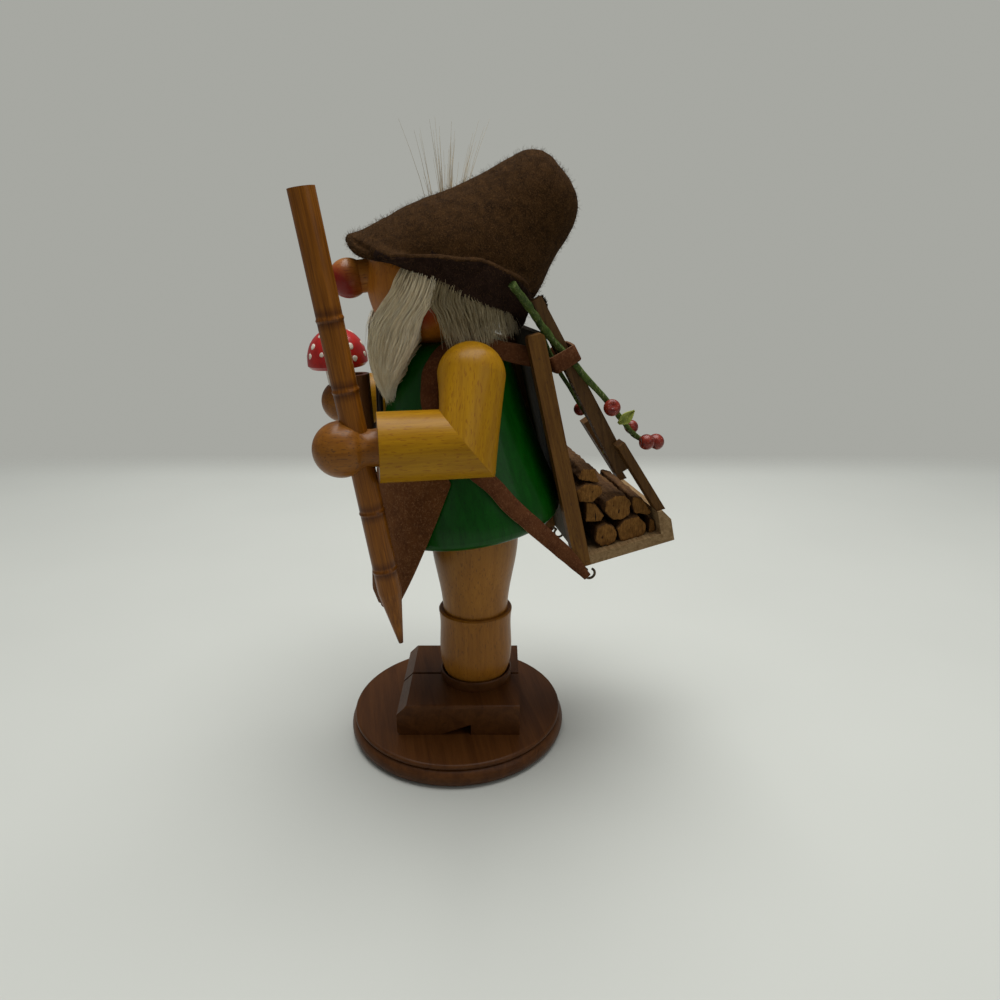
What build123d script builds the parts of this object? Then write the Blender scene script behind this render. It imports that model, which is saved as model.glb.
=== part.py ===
"""A turned wooden incense smoker: a forester with a staff, a mushroom, a pipe and a carrier of logs.

Millimetres, +Z up, origin at the middle of the base disc's underside, toes of the shoes towards -Y. The legs stand
upright. All above them is turned a little about the leg axis, and the coat and the head lean forward. That upper
figure lifts off a spigot, so that an incense cone can be set on the tray inside the coat.
"""
import math
import os

from build123d import *

os.makedirs("parts", exist_ok=True)

# Fits shared by all pieces
glue_gap = 0.02
running_gap = 0.05
soft_gap = 0.3
overrun = 60.0

# Base disc
disc_r = 45.0
disc_h = 9.7
disc_foot_r = 42.5
disc_bulge_share = 0.36
disc_cove_r = 42.4
disc_cove_share = 0.76
disc_lip_r = 43.6

# Pair of shoes, sawn from one block
shoe_half_w = 24.4
shoe_toe_y = -23.0
shoe_heel_y = 26.0
shoe_h = 13.3
toe_chamfer = 4.0
sole_chamfer = 1.5
shoe_edge_r = 1.2
saw_groove_w = 1.2
saw_groove_deep = 1.8
instep_y = 6.5
instep_h = 4.7
instep_front_y = -5.9

# Legs, turned about an upright axis
leg_y = 8.0
ring_r = 14.8
ring_h = 4.2
ring_dish_deep = 2.6
ring_lip_w = 0.5
boot_r = 15.0
boot_h = 30.4
boot_profile_shares = ((0.0, 0.79), (0.09, 0.89), (0.2, 0.955), (0.45, 0.993), (0.96, 1.0))
boot_rim_chamfer = 0.6
trouser_r = 17.5
trouser_h = 39.0
trouser_profile_shares = ((0.0, 0.755), (0.08, 0.765), (0.38, 0.865), (0.64, 0.965), (0.85, 1.0), (1.25, 1.0))
leg_dowel_r = 4.0
leg_dowel_end = 3.0
leg_dowel_top = 20.0

# Upper figure: its turn about the leg axis and the coat's lean, in degrees
figure_turn = 11.0
coat_lean = 7.5

# Coat, turned and hollow, with the spigot that it stands on
coat_back = -1.4
coat_r = 35.3
coat_h = 70.5
coat_profile_shares = (
    (0.045, 1.0), (0.13, 0.983), (0.255, 0.918), (0.425, 0.83), (0.64, 0.734), (0.85, 0.649), (0.93, 0.6),
)
coat_foot_share = 0.935
coat_neck_share = 0.43
spigot_r = 13.0
spigot_h = 7.0
spigot_peg_r = 4.0
spigot_peg_l = 9.0
spigot_chamfer = 0.8
chamber_floor = 9.0
chamber_r = 25.0
chamber_top = 54.0
chamber_top_r = 13.0
smoke_bore_r = 4.0
tray_r = 9.5
tray_h = 1.8
tray_wall = 0.5
tray_recess = 0.8

# Head, a turned ball on the coat's axis, with its nose
head_r = 24.0
head_centre = 20.0
head_profile_shares = (
    (-0.833, 0.52), (-0.77, 0.625), (-0.6, 0.81), (-0.375, 0.94), (-0.165, 0.99), (0.04, 1.0), (0.395, 0.92),
    (0.695, 0.725), (0.9, 0.44),
)
mouth_height = 11.0
mouth_r = 3.0
smoke_bore_end = 17.0
nose_r = 6.8
nose_neck_r = 5.6
nose_height = 24.8
nose_reach = 29.6
nose_root = 6.0
nose_peg_r = 2.0

# Felt hat, tilted back on the head
felt = 2.3
hat_tilt = 31.0
hat_rise = 18.5
band_slope = 5.5
hat_h = 57.0
crown_r = 28.4
crown_shares = (
    (-0.06, -0.02, 0.925), (0.0, 0.0, 0.945), (0.175, 0.113, 1.0), (0.53, 0.366, 0.754), (0.79, 0.535, 0.574),
    (0.88, 0.54, 0.472), (0.955, 0.475, 0.3), (1.0, 0.425, 0.12),
)
brim_r = 33.5
brim_edge_shares = (
    (-20, 1.0, -0.063), (0, 1.01, -0.04), (20, 1.0, -0.063), (39, 0.98, -0.068), (54, 0.985, -0.016),
    (65, 0.985, 0.045), (77, 0.955, 0.118), (90, 0.94, 0.18), (108, 0.965, 0.247), (126, 0.985, 0.27),
    (138, 0.99, 0.262), (152, 1.0, 0.18), (166, 1.01, 0.08), (180, 0.99, 0.018), (194, 1.01, 0.08),
)
tuft_root_r = 0.7
tuft_root_side = -28.9
tuft_root_back = -2.3
tuft_root_z = 192.0
tuft_tip_side = -29.0
tuft_tip_back = -8.0
tuft_tip_z = 237.0
tuft_tip_w = 9.0
tuft_tip_thick = 2.0

# Fur beard and hair
fur_thick = 4.5
fur_end_thick = 1.5
fur_full_drop = 8.5
fur_neck_rise = 5.0
fur_collar_share = 0.7
beard_drop = 17.5
beard_gap = 2.6
beard_slot_w = 5.4
beard_slot_back = -28.0
beard_slot_z = 172.0
face_top_back = -24.5
face_top_z = 192.0
face_low_back = -33.0
face_low_z = 167.0
fur_split_gap = 0.6
fur_split_top_back = -13.0
fur_split_low_back = -19.0
fur_split_low_z = 150.0
hair_low_z = 167.5

# Arms, hands and their dowels
arm_r = 11.3
arm_side = 42.0
forearm_z = 134.2
cuff_back = -37.2
elbow_back = -8.56
mitre_lean = 38.2
shoulder_side = 32.2
shoulder_back = -5.5
shoulder_z = 154.4
elbow_flat = 1.2
arm_dowel_r = 2.5
arm_dowel_in = 15.0
arm_dowel_out = 36.5
arm_dowel_z = 155.5
hand_r = 9.0
hand_reach = 11.4
wrist_r = 6.3
wrist_waist_r = 6.0
wrist_join_r = 6.9
wrist_peg_r = 3.0
wrist_peg_l = 9.0

# Bamboo staff, which slides in the left hand
staff_r = 4.0
staff_l = 147.3
staff_tip_l = 20.0
staff_tip_r = 0.8
staff_lean = 8.51
staff_back = -43.3
staff_below_hand = 70.6
staff_node_r = 4.3
staff_node_h = 1.6
staff_node_shares = (0.193, 0.334, 0.606, 0.752)

# Mushroom on the right hand
stem_r = 5.8
stem_foot_r = 4.9
stem_h = 9.4
stem_peg_r = 2.0
stem_peg_l = 4.0
stem_seat = 7.0
cap_r = 12.3
cap_h = 15.6
cap_hollow = 2.0
cap_lip_w = 1.4
cap_dome_share = 0.73
mushroom_lean = 4.0

# Pipe
bowl_r = 4.7
bowl_h = 21.5
bowl_back = -41.7
bowl_foot_z = 130.0
bowl_lean = 2.6
bowl_bore_r = 2.7
bowl_bore_deep = 9.0
bowl_foot_r = 2.2
pipe_stem_r = 1.2
pipe_stem_back = -34.7
pipe_mouth_z = 168.4
pipe_mouth_back = -25.5
pipe_low_z = 133.0
pipe_bend_r = 2.6
pipe_foot_bend_r = 3.4
pipe_meet_share = 0.55

# Leather apron
leather = 1.2
apron_drop_shares = ((0.51, 0.815), (0.285, 0.925), (0.135, 1.0), (0.045, 1.03), (-0.115, 1.1), (-0.3, 1.155),
                     (-0.41, 1.12))
apron_side_top_back = -11.6
apron_side_top_z = 120.0
apron_side_low_back = -33.4
apron_side_low_z = 66.0
apron_corner_z = 67.6
apron_corner_side = 20.0
apron_tip_z = 61.0
apron_notch_top_back = -17.9
apron_notch_top_z = 130.8
apron_notch_low_back = -8.2
apron_notch_low_z = 119.7

# Back carrier, measured from the posts' feet
carrier_lean = 13.0
carrier_back = 38.9
carrier_z = 80.0
carrier_half_w = 25.0
post_w = 5.0
post_front = -4.1
post_rear = 1.9
post_h = 89.0
post_edge_r = 1.4
board_thick = 2.0
shelf_deep = 36.0
shelf_thick = 3.9
lip_w = 4.8
lip_h = 9.3
lip_slope_h = 4.4
lip_slope_w = 2.8
slat_inset = 1.0
slat_w = 6.5
slat_thick = 3.2
slat_foot_out = 33.0
slat_lean = 20.5
slat_l = 31.3
stake_side = 15.0
stake_w = 4.6
stake_top_d = 3.8
stake_foot_d = 6.0
stake_top_out = 3.5
stake_top_w = 99.6
stake_foot_out = 23.3
stake_foot_w = 30.0

# Split logs: length share, then the outline in the carrier's side view as shares of the shelf's depth
log_l = 43.0
log_floor_share = 0.117
log_back_share = 0.053
log_shares = (
    (0.96, ((0.205, 0.882), (0.336, 0.826), (0.322, 0.985), (0.19, 1.02), (0.125, 0.936))),
    (1.0, ((0.075, 0.82), (0.19, 0.865), (0.342, 0.8), (0.35, 0.71), (0.225, 0.645), (0.095, 0.685))),
    (0.98, ((0.335, 0.5), (0.4, 0.39), (0.51, 0.355), (0.6, 0.4), (0.635, 0.51), (0.59, 0.61), (0.48, 0.645),
            (0.37, 0.6))),
    (0.94, ((0.115, 0.44), (0.29, 0.387), (0.325, 0.45), (0.262, 0.6), (0.165, 0.655))),
    (1.0, ((0.17, 0.2), (0.215, 0.135), (0.3, 0.117), (0.38, 0.14), (0.42, 0.22), (0.4, 0.31), (0.32, 0.37),
           (0.22, 0.345))),
    (1.0, ((0.44, 0.117), (0.72, 0.117), (0.755, 0.225), (0.682, 0.35), (0.52, 0.345), (0.43, 0.27))),
    (0.97, ((0.77, 0.117), (0.858, 0.117), (0.855, 0.24), (0.815, 0.285))),
    (0.92, ((0.665, 0.37), (0.81, 0.305), (0.845, 0.325), (0.775, 0.515), (0.675, 0.56), (0.65, 0.46))),
)
log_edge_r = 0.5

# Leather straps, the tie band and the screw eyes: places on the coat are shares of its height, with degrees,
# and the rise over the shoulder is measured from the middle of the coat's neck
strap_w = 6.4
strap_gap = 0.4
shoulder_strap_shares = ((0.6, 71.5), (0.67, 68.0), (0.74, 66.0), (0.82, 67.5), (0.89, 71.0))
lower_strap_shares = ((0.575, 74.0), (0.49, 81.0), (0.4, 90.5), (0.3, 101.0), (0.2, 108.0), (0.1, 116.5))
strap_rise_side = 21.8
strap_rise_back = -2.9
strap_rise_up = -2.4
strap_rise_shares = (0.75, -0.2, 0.63)
strap_pinch_share = 0.72
strap_over_side = 20.8
strap_over_back = 3.6
strap_over_up = 1.0
strap_over_shares = (0.3, 0.0, 0.95)
strap_behind_side = 20.4
strap_behind_back = 15.6
strap_behind_up = -2.3
strap_nail_side = 17.4
strap_nail_w = 80.0
strap_hang_side = 28.3
strap_hang_back = 23.0
strap_hang_z = 93.4
strap_hang_shares = (0.9, 0.4, 0.2)
strap_fall_side = 25.9
strap_fall_back = 32.5
strap_fall_z = 85.2
eye_wire_r = 0.5
eye_r = 2.0
eye_out = 1.3
eye_drop = 4.7
eye_shank_l = 8.0
eye_gap_turn = 50.0
eye_lap_turn = 15.0
band_l = 6.0
band_along_share = 0.31
band_in_side = 8.0
band_out_side = 20.6
band_front_reach = 5.4
band_rear_reach = 2.9
band_tail_w = 1.2

# Twigs, berries, leaves and the small cone
twig_r = 1.5
twig_end_r = 0.9
near_twig_shares = (
    (1.184, -0.17, 1.205), (0.768, 0.055, 1.044), (0.756, 0.192, 0.931), (0.744, 0.598, 0.653),
    (0.72, 0.808, 0.491), (0.696, 0.963, 0.434),
)
far_twig_shares = ((0.376, 0.18, 1.04), (0.376, 0.163, 0.89), (0.376, 0.57, 0.445))
berry_r = 3.1
berry_shares = (
    (0.86, 0.604, 0.634), (0.64, 0.815, 0.514), (0.848, 0.904, 0.451), (0.68, 1.045, 0.424), (0.28, 0.385, 0.62),
)
leaf_thick = 0.8
leaf_l = 7.5
leaf_w = 4.0
leaf_shares = ((0.824, 0.738, 0.579), (0.44, 0.506, 0.532), (0.44, 0.575, 0.45))
cone_l = 7.0
cone_r = 2.6
cone_wide_share = 0.42

# Frames: the legs' own plane, and the upper figure's side, back and up directions
leg_plane = Plane(origin=(0, leg_y, 0), x_dir=(1, 0, 0), z_dir=(0, -1, 0))
leg_axis = Axis((0, leg_y, 0), (0, 0, 1))
turn = math.radians(figure_turn)
lean = math.radians(coat_lean)
side_dir = Vector(math.cos(turn), math.sin(turn), 0)
back_dir = Vector(-math.sin(turn), math.cos(turn), 0)
up_dir = Vector(0, 0, 1)


def towards(side, back, up):
    """Gives a direction from its shares along the upper figure's side, back and up."""
    return side_dir * side + back_dir * back + up_dir * up


def at(side, back, up):
    """Gives a point from its distances along the upper figure's side, back and up."""
    return Vector(0, leg_y, 0) + towards(side, back, up)


shoe_top_z = disc_h + shoe_h
boot_foot_z = shoe_top_z + ring_h - ring_dish_deep
trouser_foot_z = boot_foot_z + boot_h
coat_z = trouser_foot_z + trouser_h
mid_plane = Plane(origin=at(0, 0, 0), x_dir=towards(0, 1, 0), z_dir=towards(1, 0, 0))
coat_axis_dir = towards(0, -math.sin(lean), math.cos(lean))
coat_front_dir = towards(0, -math.cos(lean), -math.sin(lean))
coat_origin = at(0, coat_back, coat_z)
coat_plane = Plane(origin=coat_origin, x_dir=coat_front_dir, z_dir=towards(-1, 0, 0))
coat_axis = Axis(coat_origin, coat_axis_dir)
seat_plane = Plane(origin=coat_origin, x_dir=coat_front_dir, z_dir=coat_axis_dir)


def coat_point(height, angle, radius):
    """Gives a point by its height on the coat's axis, its angle from the front and its distance from the axis."""
    out = coat_front_dir * math.cos(math.radians(angle)) + side_dir * math.sin(math.radians(angle))
    return coat_origin + coat_axis_dir * height + out * radius


def coat_radius(height):
    """Gives the coat's outer radius at a height on its axis."""
    rows = [(share * coat_h, wide * coat_r) for share, wide in coat_profile_shares]
    rows.append(((rows[-1][0] + coat_h) / 2, rows[-1][1] * coat_foot_share))
    rows.append((coat_h, coat_neck_share * coat_r))
    for (low, low_r), (high, high_r) in zip(rows, rows[1:]):
        if height <= high:
            return low_r + (high_r - low_r) * max(0, height - low) / (high - low)
    return rows[-1][1]


def write_part(builder, label):
    """Labels a finished piece and writes its file."""
    builder.part.label = label
    export_step(builder.part, f"parts/{label}.step")
    print(label, round(builder.part.volume, 1), len(builder.part.solids()))


def cut_away(plane, outline):
    """Takes away all that lies within an outline, on both sides of its plane."""
    with BuildSketch(plane) as region:
        with BuildLine():
            Polyline(*outline, close=True)
        make_face()
    extrude(region.sketch, amount=overrun, both=True, mode=Mode.SUBTRACT)


def slab(plane, outline, thick):
    """Extrudes an outline from its plane."""
    with BuildSketch(plane) as region:
        with BuildLine():
            Polyline(*outline, close=True)
        make_face()
    extrude(region.sketch, amount=thick)


def turning_plane(origin, along):
    """Gives the plane of a turned outline, with the radius towards the side and the second axis along the work."""
    return Plane(origin=origin, x_dir=side_dir, z_dir=side_dir.cross(along))


def run_directions(points):
    """Gives the direction of a run at each of its points."""
    ends = [points[0]] + list(points) + [points[-1]]
    return [(after - before).normalized() for before, after in zip(ends, ends[2:])]


def strip(points, normals, widths, thick):
    """Lofts a leather strip through points, where its face looks along the normals, with a width at each."""
    sections = []
    for point, normal, width, along in zip(points, normals, widths, run_directions(points)):
        with BuildSketch(Plane(origin=point, x_dir=normal.cross(along), z_dir=along)) as section:
            Rectangle(width, thick)
        sections.append(section.sketch)
    loft(sections, ruled=True)


def rod(points, radii):
    """Lofts a thin round rod through points, with a radius at each."""
    sections = []
    for point, radius, along in zip(points, radii, run_directions(points)):
        with BuildSketch(Plane(origin=point, x_dir=side_dir, z_dir=along)) as section:
            Circle(radius)
        sections.append(section.sketch)
    loft(sections, ruled=True)


# Base disc, with a blind hole for the leg dowel
with BuildPart() as base_disc:
    with BuildSketch(Plane.XZ):
        with BuildLine():
            cove = (disc_cove_r, disc_cove_share * disc_h)
            lip_top = (disc_cove_r, disc_h)
            Line((0, 0), (disc_foot_r, 0))
            ThreePointArc((disc_foot_r, 0), (disc_r, disc_bulge_share * disc_h), cove)
            ThreePointArc(cove, (disc_lip_r, (cove[1] + disc_h) / 2), lip_top)
            Polyline(lip_top, (0, disc_h), (0, 0))
        make_face()
    revolve(axis=Axis.Z)
    with Locations((0, leg_y, disc_h)):
        Hole(leg_dowel_r + glue_gap, depth=disc_h - leg_dowel_end)
write_part(base_disc, "base_disc")

# Shoes: the side outline has the toe's slope and the notch before the heel
with BuildPart() as shoe_block:
    with BuildSketch(Plane.YZ):
        with BuildLine():
            Polyline(
                (shoe_toe_y + sole_chamfer, disc_h),
                (instep_front_y, disc_h),
                (instep_y, disc_h + instep_h),
                (instep_y, disc_h),
                (shoe_heel_y, disc_h),
                (shoe_heel_y, shoe_top_z),
                (shoe_toe_y + toe_chamfer, shoe_top_z),
                (shoe_toe_y, shoe_top_z - toe_chamfer),
                (shoe_toe_y, disc_h + sole_chamfer),
                close=True,
            )
        make_face()
    extrude(amount=shoe_half_w, both=True)
    fillet(shoe_block.edges().filter_by(Axis.Y).group_by(Axis.Z)[-1], shoe_edge_r)
    groove_z = shoe_top_z - saw_groove_deep
    with BuildSketch(Plane.YZ):
        with BuildLine():
            slope = saw_groove_deep * math.sqrt(2)
            Polyline(
                (shoe_heel_y + overrun, groove_z),
                (shoe_toe_y + toe_chamfer - saw_groove_deep + slope, groove_z),
                (shoe_toe_y - shoe_h, groove_z - toe_chamfer - shoe_h - slope + saw_groove_deep),
                (shoe_toe_y - shoe_h, shoe_top_z + overrun),
                (shoe_heel_y + overrun, shoe_top_z + overrun),
                close=True,
            )
        make_face()
    extrude(amount=saw_groove_w / 2, both=True, mode=Mode.SUBTRACT)
    with Locations((0, leg_y, shoe_top_z)):
        Hole(leg_dowel_r + glue_gap, depth=shoe_h)
write_part(shoe_block, "shoe_block")

# Ring under the boots, with a dished top
with BuildPart() as boot_ring:
    with BuildSketch(leg_plane):
        with BuildLine():
            ring_top_z = shoe_top_z + ring_h
            dish_r = boot_profile_shares[0][1] * boot_r
            Polyline(
                (leg_dowel_r + glue_gap, shoe_top_z),
                (ring_r, shoe_top_z),
                (ring_r, ring_top_z - ring_lip_w),
                (ring_r - ring_lip_w, ring_top_z),
                (dish_r, boot_foot_z),
                (leg_dowel_r + glue_gap, boot_foot_z),
                close=True,
            )
        make_face()
    revolve(axis=leg_axis)
write_part(boot_ring, "boot_ring")

# Boots, barrel turned, with the edge of the shaft at their top
with BuildPart() as boots:
    with BuildSketch(leg_plane):
        with BuildLine():
            boot_line = [(wide * boot_r, boot_foot_z + high * boot_h) for high, wide in boot_profile_shares]
            Spline(*boot_line)
            Polyline(
                boot_line[-1],
                (boot_r, trouser_foot_z - boot_rim_chamfer),
                (boot_r - boot_rim_chamfer, trouser_foot_z),
                (leg_dowel_r + glue_gap, trouser_foot_z),
                (leg_dowel_r + glue_gap, boot_foot_z),
                boot_line[0],
            )
        make_face()
    revolve(axis=leg_axis)
write_part(boots, "boots")

# Trousers, turned upright and cut off at the coat's lean, with holes for the dowel and the spigot's peg
with BuildPart() as trousers:
    with BuildSketch(leg_plane):
        with BuildLine():
            trouser_line = [(wide * trouser_r, trouser_foot_z + high * trouser_h)
                            for high, wide in trouser_profile_shares]
            Spline(*trouser_line)
            Polyline(trouser_line[-1], (0, trouser_line[-1][1]), (0, trouser_foot_z), trouser_line[0])
        make_face()
    revolve(axis=leg_axis)
    split(bisect_by=seat_plane, keep=Keep.BOTTOM)
    with BuildSketch(Plane(origin=(0, leg_y, trouser_foot_z))):
        Circle(leg_dowel_r + glue_gap)
    extrude(amount=leg_dowel_top, mode=Mode.SUBTRACT)
    with BuildSketch(seat_plane):
        Circle(spigot_peg_r + glue_gap)
    extrude(amount=-spigot_peg_l, mode=Mode.SUBTRACT)
write_part(trousers, "trousers")

# Dowel through the shoes, the ring and the boots
with BuildPart() as leg_dowel:
    with BuildSketch(Plane(origin=(0, leg_y, leg_dowel_end))):
        Circle(leg_dowel_r)
    extrude(amount=trouser_foot_z + leg_dowel_top - leg_dowel_end)
    chamfer(leg_dowel.edges(), spigot_chamfer)
write_part(leg_dowel, "leg_dowel")

# Spigot that locates the coat, with a recess for the tray
with BuildPart() as coat_spigot:
    with BuildSketch(coat_plane):
        with BuildLine():
            Polyline(
                (0, -spigot_peg_l),
                (spigot_peg_r, -spigot_peg_l),
                (spigot_peg_r, 0),
                (spigot_r, 0),
                (spigot_r, spigot_h - spigot_chamfer),
                (spigot_r - spigot_chamfer, spigot_h),
                (tray_r + glue_gap, spigot_h),
                (tray_r + glue_gap, spigot_h - tray_recess),
                (0, spigot_h - tray_recess),
                close=True,
            )
        make_face()
    revolve(axis=coat_axis)
write_part(coat_spigot, "coat_spigot")

# Metal tray for the incense cone
with BuildPart() as incense_tray:
    with BuildSketch(coat_plane):
        with BuildLine():
            tray_foot = spigot_h - tray_recess
            Polyline(
                (0, tray_foot),
                (tray_r, tray_foot),
                (tray_r, tray_foot + tray_h),
                (tray_r - tray_wall, tray_foot + tray_h),
                (tray_r - tray_wall, tray_foot + tray_wall),
                (0, tray_foot + tray_wall),
                close=True,
            )
        make_face()
    revolve(axis=coat_axis)
write_part(incense_tray, "incense_tray")

# Outline of the coat from its foot to its neck
coat_line = [(wide * coat_r, high * coat_h) for high, wide in coat_profile_shares]
coat_neck = (coat_neck_share * coat_r, coat_h)
shoulder_turn = (coat_line[-1][0] * coat_foot_share, (coat_line[-1][1] + coat_h) / 2)

# Coat: bore for the spigot, a wide smoke chamber and a narrow bore up to the head
arm_dowel_plane = Plane(origin=at(0, shoulder_back, arm_dowel_z), x_dir=back_dir, z_dir=side_dir)
with BuildPart() as coat:
    with BuildSketch(coat_plane):
        with BuildLine():
            bore_r = spigot_r + running_gap
            ThreePointArc(
                (coat_foot_share * coat_r, 0),
                ((coat_foot_share + 1) / 2 * coat_r + soft_gap, coat_line[0][1] / 3),
                coat_line[0],
            )
            Spline(*coat_line)
            ThreePointArc(coat_line[-1], shoulder_turn, coat_neck)
            Polyline(
                coat_neck,
                (smoke_bore_r, coat_h),
                (smoke_bore_r, chamber_top),
                (chamber_top_r, chamber_top),
                (chamber_r, chamber_floor + spigot_h),
                (bore_r, chamber_floor),
                (bore_r, 0),
                (coat_foot_share * coat_r, 0),
            )
        make_face()
    revolve(axis=coat_axis)
    for side in (1, -1):
        with BuildSketch(arm_dowel_plane.offset(side * arm_dowel_in)):
            Circle(arm_dowel_r + glue_gap)
        extrude(amount=side * arm_dowel_out, mode=Mode.SUBTRACT)
write_part(coat, "coat")

# The coat's outer form, grown by the glue gap, that the arms are coped to
with BuildPart() as coat_form:
    with BuildSketch(coat_plane):
        with BuildLine():
            grown = [(radius + glue_gap, height) for radius, height in coat_line]
            Spline(*grown)
            Polyline(grown[-1], (coat_neck[0] + arm_r / 2, coat_h), (0, coat_h), (0, grown[0][1]), grown[0])
        make_face()
    revolve(axis=coat_axis)

# Head, bored from below for the smoke, with the mouth, the nose's hole and the pipe's hole
head_base = coat_h
head_mid = coat_h + head_centre
head_line = [(wide * head_r, head_mid + high * head_r) for high, wide in head_profile_shares]
head_foot_r = head_line[0][0]
nose_plane = Plane(origin=coat_point(head_base + nose_height, 0, 0), x_dir=side_dir, z_dir=coat_front_dir)
mouth_plane = Plane(origin=coat_point(head_base + mouth_height, 0, 0), x_dir=side_dir, z_dir=coat_front_dir)
pipe_points = [
    at(0, pipe_mouth_back, pipe_mouth_z),
    at(0, pipe_stem_back, pipe_mouth_z),
    at(0, pipe_stem_back, pipe_low_z),
    at(0, bowl_back + bowl_r * pipe_meet_share, bowl_foot_z + pipe_stem_r),
]
with BuildPart() as head:
    with BuildSketch(coat_plane):
        with BuildLine():
            head_top = (0, head_mid + head_r)
            Spline(*head_line, head_top, tangents=[(1, 1), (-1, 0)])
            Polyline(head_top, (0, head_base), (head_foot_r, head_base), head_line[0])
        make_face()
    revolve(axis=coat_axis)
    with BuildSketch(seat_plane.offset(head_base)):
        Circle(smoke_bore_r)
    extrude(amount=smoke_bore_end, mode=Mode.SUBTRACT)
    with BuildSketch(mouth_plane):
        Circle(mouth_r)
    extrude(amount=head_r + nose_r, mode=Mode.SUBTRACT)
    with BuildSketch(nose_plane.offset(head_r - nose_root)):
        Circle(nose_peg_r + glue_gap)
    extrude(amount=overrun, mode=Mode.SUBTRACT)
    with BuildSketch(Plane(origin=pipe_points[0], x_dir=side_dir, z_dir=-back_dir)):
        Circle(pipe_stem_r + glue_gap)
    extrude(amount=overrun, mode=Mode.SUBTRACT)
write_part(head, "head")

# Outer form of the head, grown for what lies on it
with BuildPart() as head_form:
    with BuildSketch(coat_plane):
        with BuildLine():
            grown_head = [(radius + soft_gap, height) for radius, height in head_line]
            grown_top = (0, head_mid + head_r + soft_gap)
            Spline(*grown_head, grown_top, tangents=[(1, 1), (-1, 0)])
            Polyline(grown_top, (0, head_base - soft_gap), (head_foot_r + soft_gap, head_base - soft_gap),
                     grown_head[0])
        make_face()
    revolve(axis=coat_axis)

# Nose: a ball on a short neck, coped to the head, with a peg
with BuildPart() as nose:
    with BuildSketch(Plane(origin=nose_plane.origin, x_dir=coat_front_dir, z_dir=-side_dir)):
        with BuildLine():
            neck_reach = nose_reach - math.sqrt(nose_r ** 2 - nose_neck_r ** 2)
            Polyline(
                (head_r - nose_root + glue_gap, 0),
                (head_r - nose_root + glue_gap, nose_peg_r),
                (head_r - nose_peg_r, nose_peg_r),
                (head_r - nose_peg_r, nose_neck_r),
                (neck_reach, nose_neck_r),
            )
            ThreePointArc((neck_reach, nose_neck_r), (nose_reach, nose_r), (nose_reach + nose_r, 0))
            Line((nose_reach + nose_r, 0), (head_r - nose_root + glue_gap, 0))
        make_face()
    revolve(axis=Axis(nose_plane.origin, coat_front_dir))
    add(head.part, mode=Mode.SUBTRACT)
write_part(nose, "nose")

# Hat frame: up the crown's axis, and towards its back
tilt = math.radians(hat_tilt)
hat_up = towards(0, math.sin(tilt), math.cos(tilt))
hat_rear = towards(0, math.cos(tilt), -math.sin(tilt))
hat_origin = coat_point(head_base + hat_rise, 0, 0)


def hat_section(height, rear):
    """Gives the plane of a ring of the crown, by its height and how far back its middle lies."""
    return Plane(origin=hat_origin + hat_up * height + hat_rear * rear, x_dir=side_dir, z_dir=hat_up)


# Hat: a leaning cone of felt with a rounded top, and a brim that rises at the sides and dips in front
crown_rings = [(high * hat_h, rear * crown_r, wide * crown_r) for high, rear, wide in crown_shares]
with BuildPart() as crown_hollow:
    for height, rear, radius in crown_rings[:-1]:
        with BuildSketch(hat_section(height - felt * height / hat_h, rear)):
            Circle(radius - felt)
    loft()
with BuildPart() as crown:
    for height, rear, radius in crown_rings:
        with BuildSketch(hat_section(height, rear)):
            Circle(radius)
    loft()
    add(crown_hollow.part, mode=Mode.SUBTRACT)
slope = math.tan(math.radians(band_slope))
band_plane = Plane(origin=hat_origin, x_dir=side_dir, z_dir=hat_up - hat_rear * slope)
with BuildPart() as brim:
    root_r = crown_rings[1][2] - felt / 2
    for angle, reach, rise in brim_edge_shares:
        out_dir = side_dir * math.sin(math.radians(angle)) - hat_rear * math.cos(math.radians(angle))
        root_h = -slope * root_r * math.cos(math.radians(angle)) + felt / 2
        edge = Vector(reach * brim_r - root_r, rise * hat_h - root_h)
        across = Vector(-edge.Y, edge.X).normalized() * felt / 2
        with BuildSketch(Plane(origin=hat_origin, x_dir=out_dir, z_dir=out_dir.cross(hat_up))):
            with BuildLine():
                Polyline(
                    (root_r - across.X, root_h - across.Y),
                    (root_r + edge.X - across.X, root_h + edge.Y - across.Y),
                    (root_r + edge.X + across.X, root_h + edge.Y + across.Y),
                    (root_r + across.X, root_h + across.Y),
                    close=True,
                )
            make_face()
    loft()
    split(bisect_by=mid_plane, keep=Keep.TOP)
    mirror(about=mid_plane)
with BuildPart() as hat:
    add(crown.part)
    split(bisect_by=band_plane, keep=Keep.TOP)
    add(brim.part)
    add(head_form.part, mode=Mode.SUBTRACT)
write_part(hat, "hat")

# Hair tuft that stands behind the crown
tuft_root = at(tuft_root_side, tuft_root_back, tuft_root_z)
tuft_tip = at(tuft_tip_side, tuft_tip_back, tuft_tip_z)
with BuildPart() as hat_tuft:
    with BuildSketch(Plane(origin=tuft_root, x_dir=back_dir, z_dir=tuft_tip - tuft_root)):
        Circle(tuft_root_r)
    with BuildSketch(Plane(origin=tuft_tip, x_dir=back_dir, z_dir=tuft_tip - tuft_root)):
        Ellipse(tuft_tip_w / 2, tuft_tip_thick / 2)
    loft(ruled=True)
write_part(hat_tuft, "hat_tuft")

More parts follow.
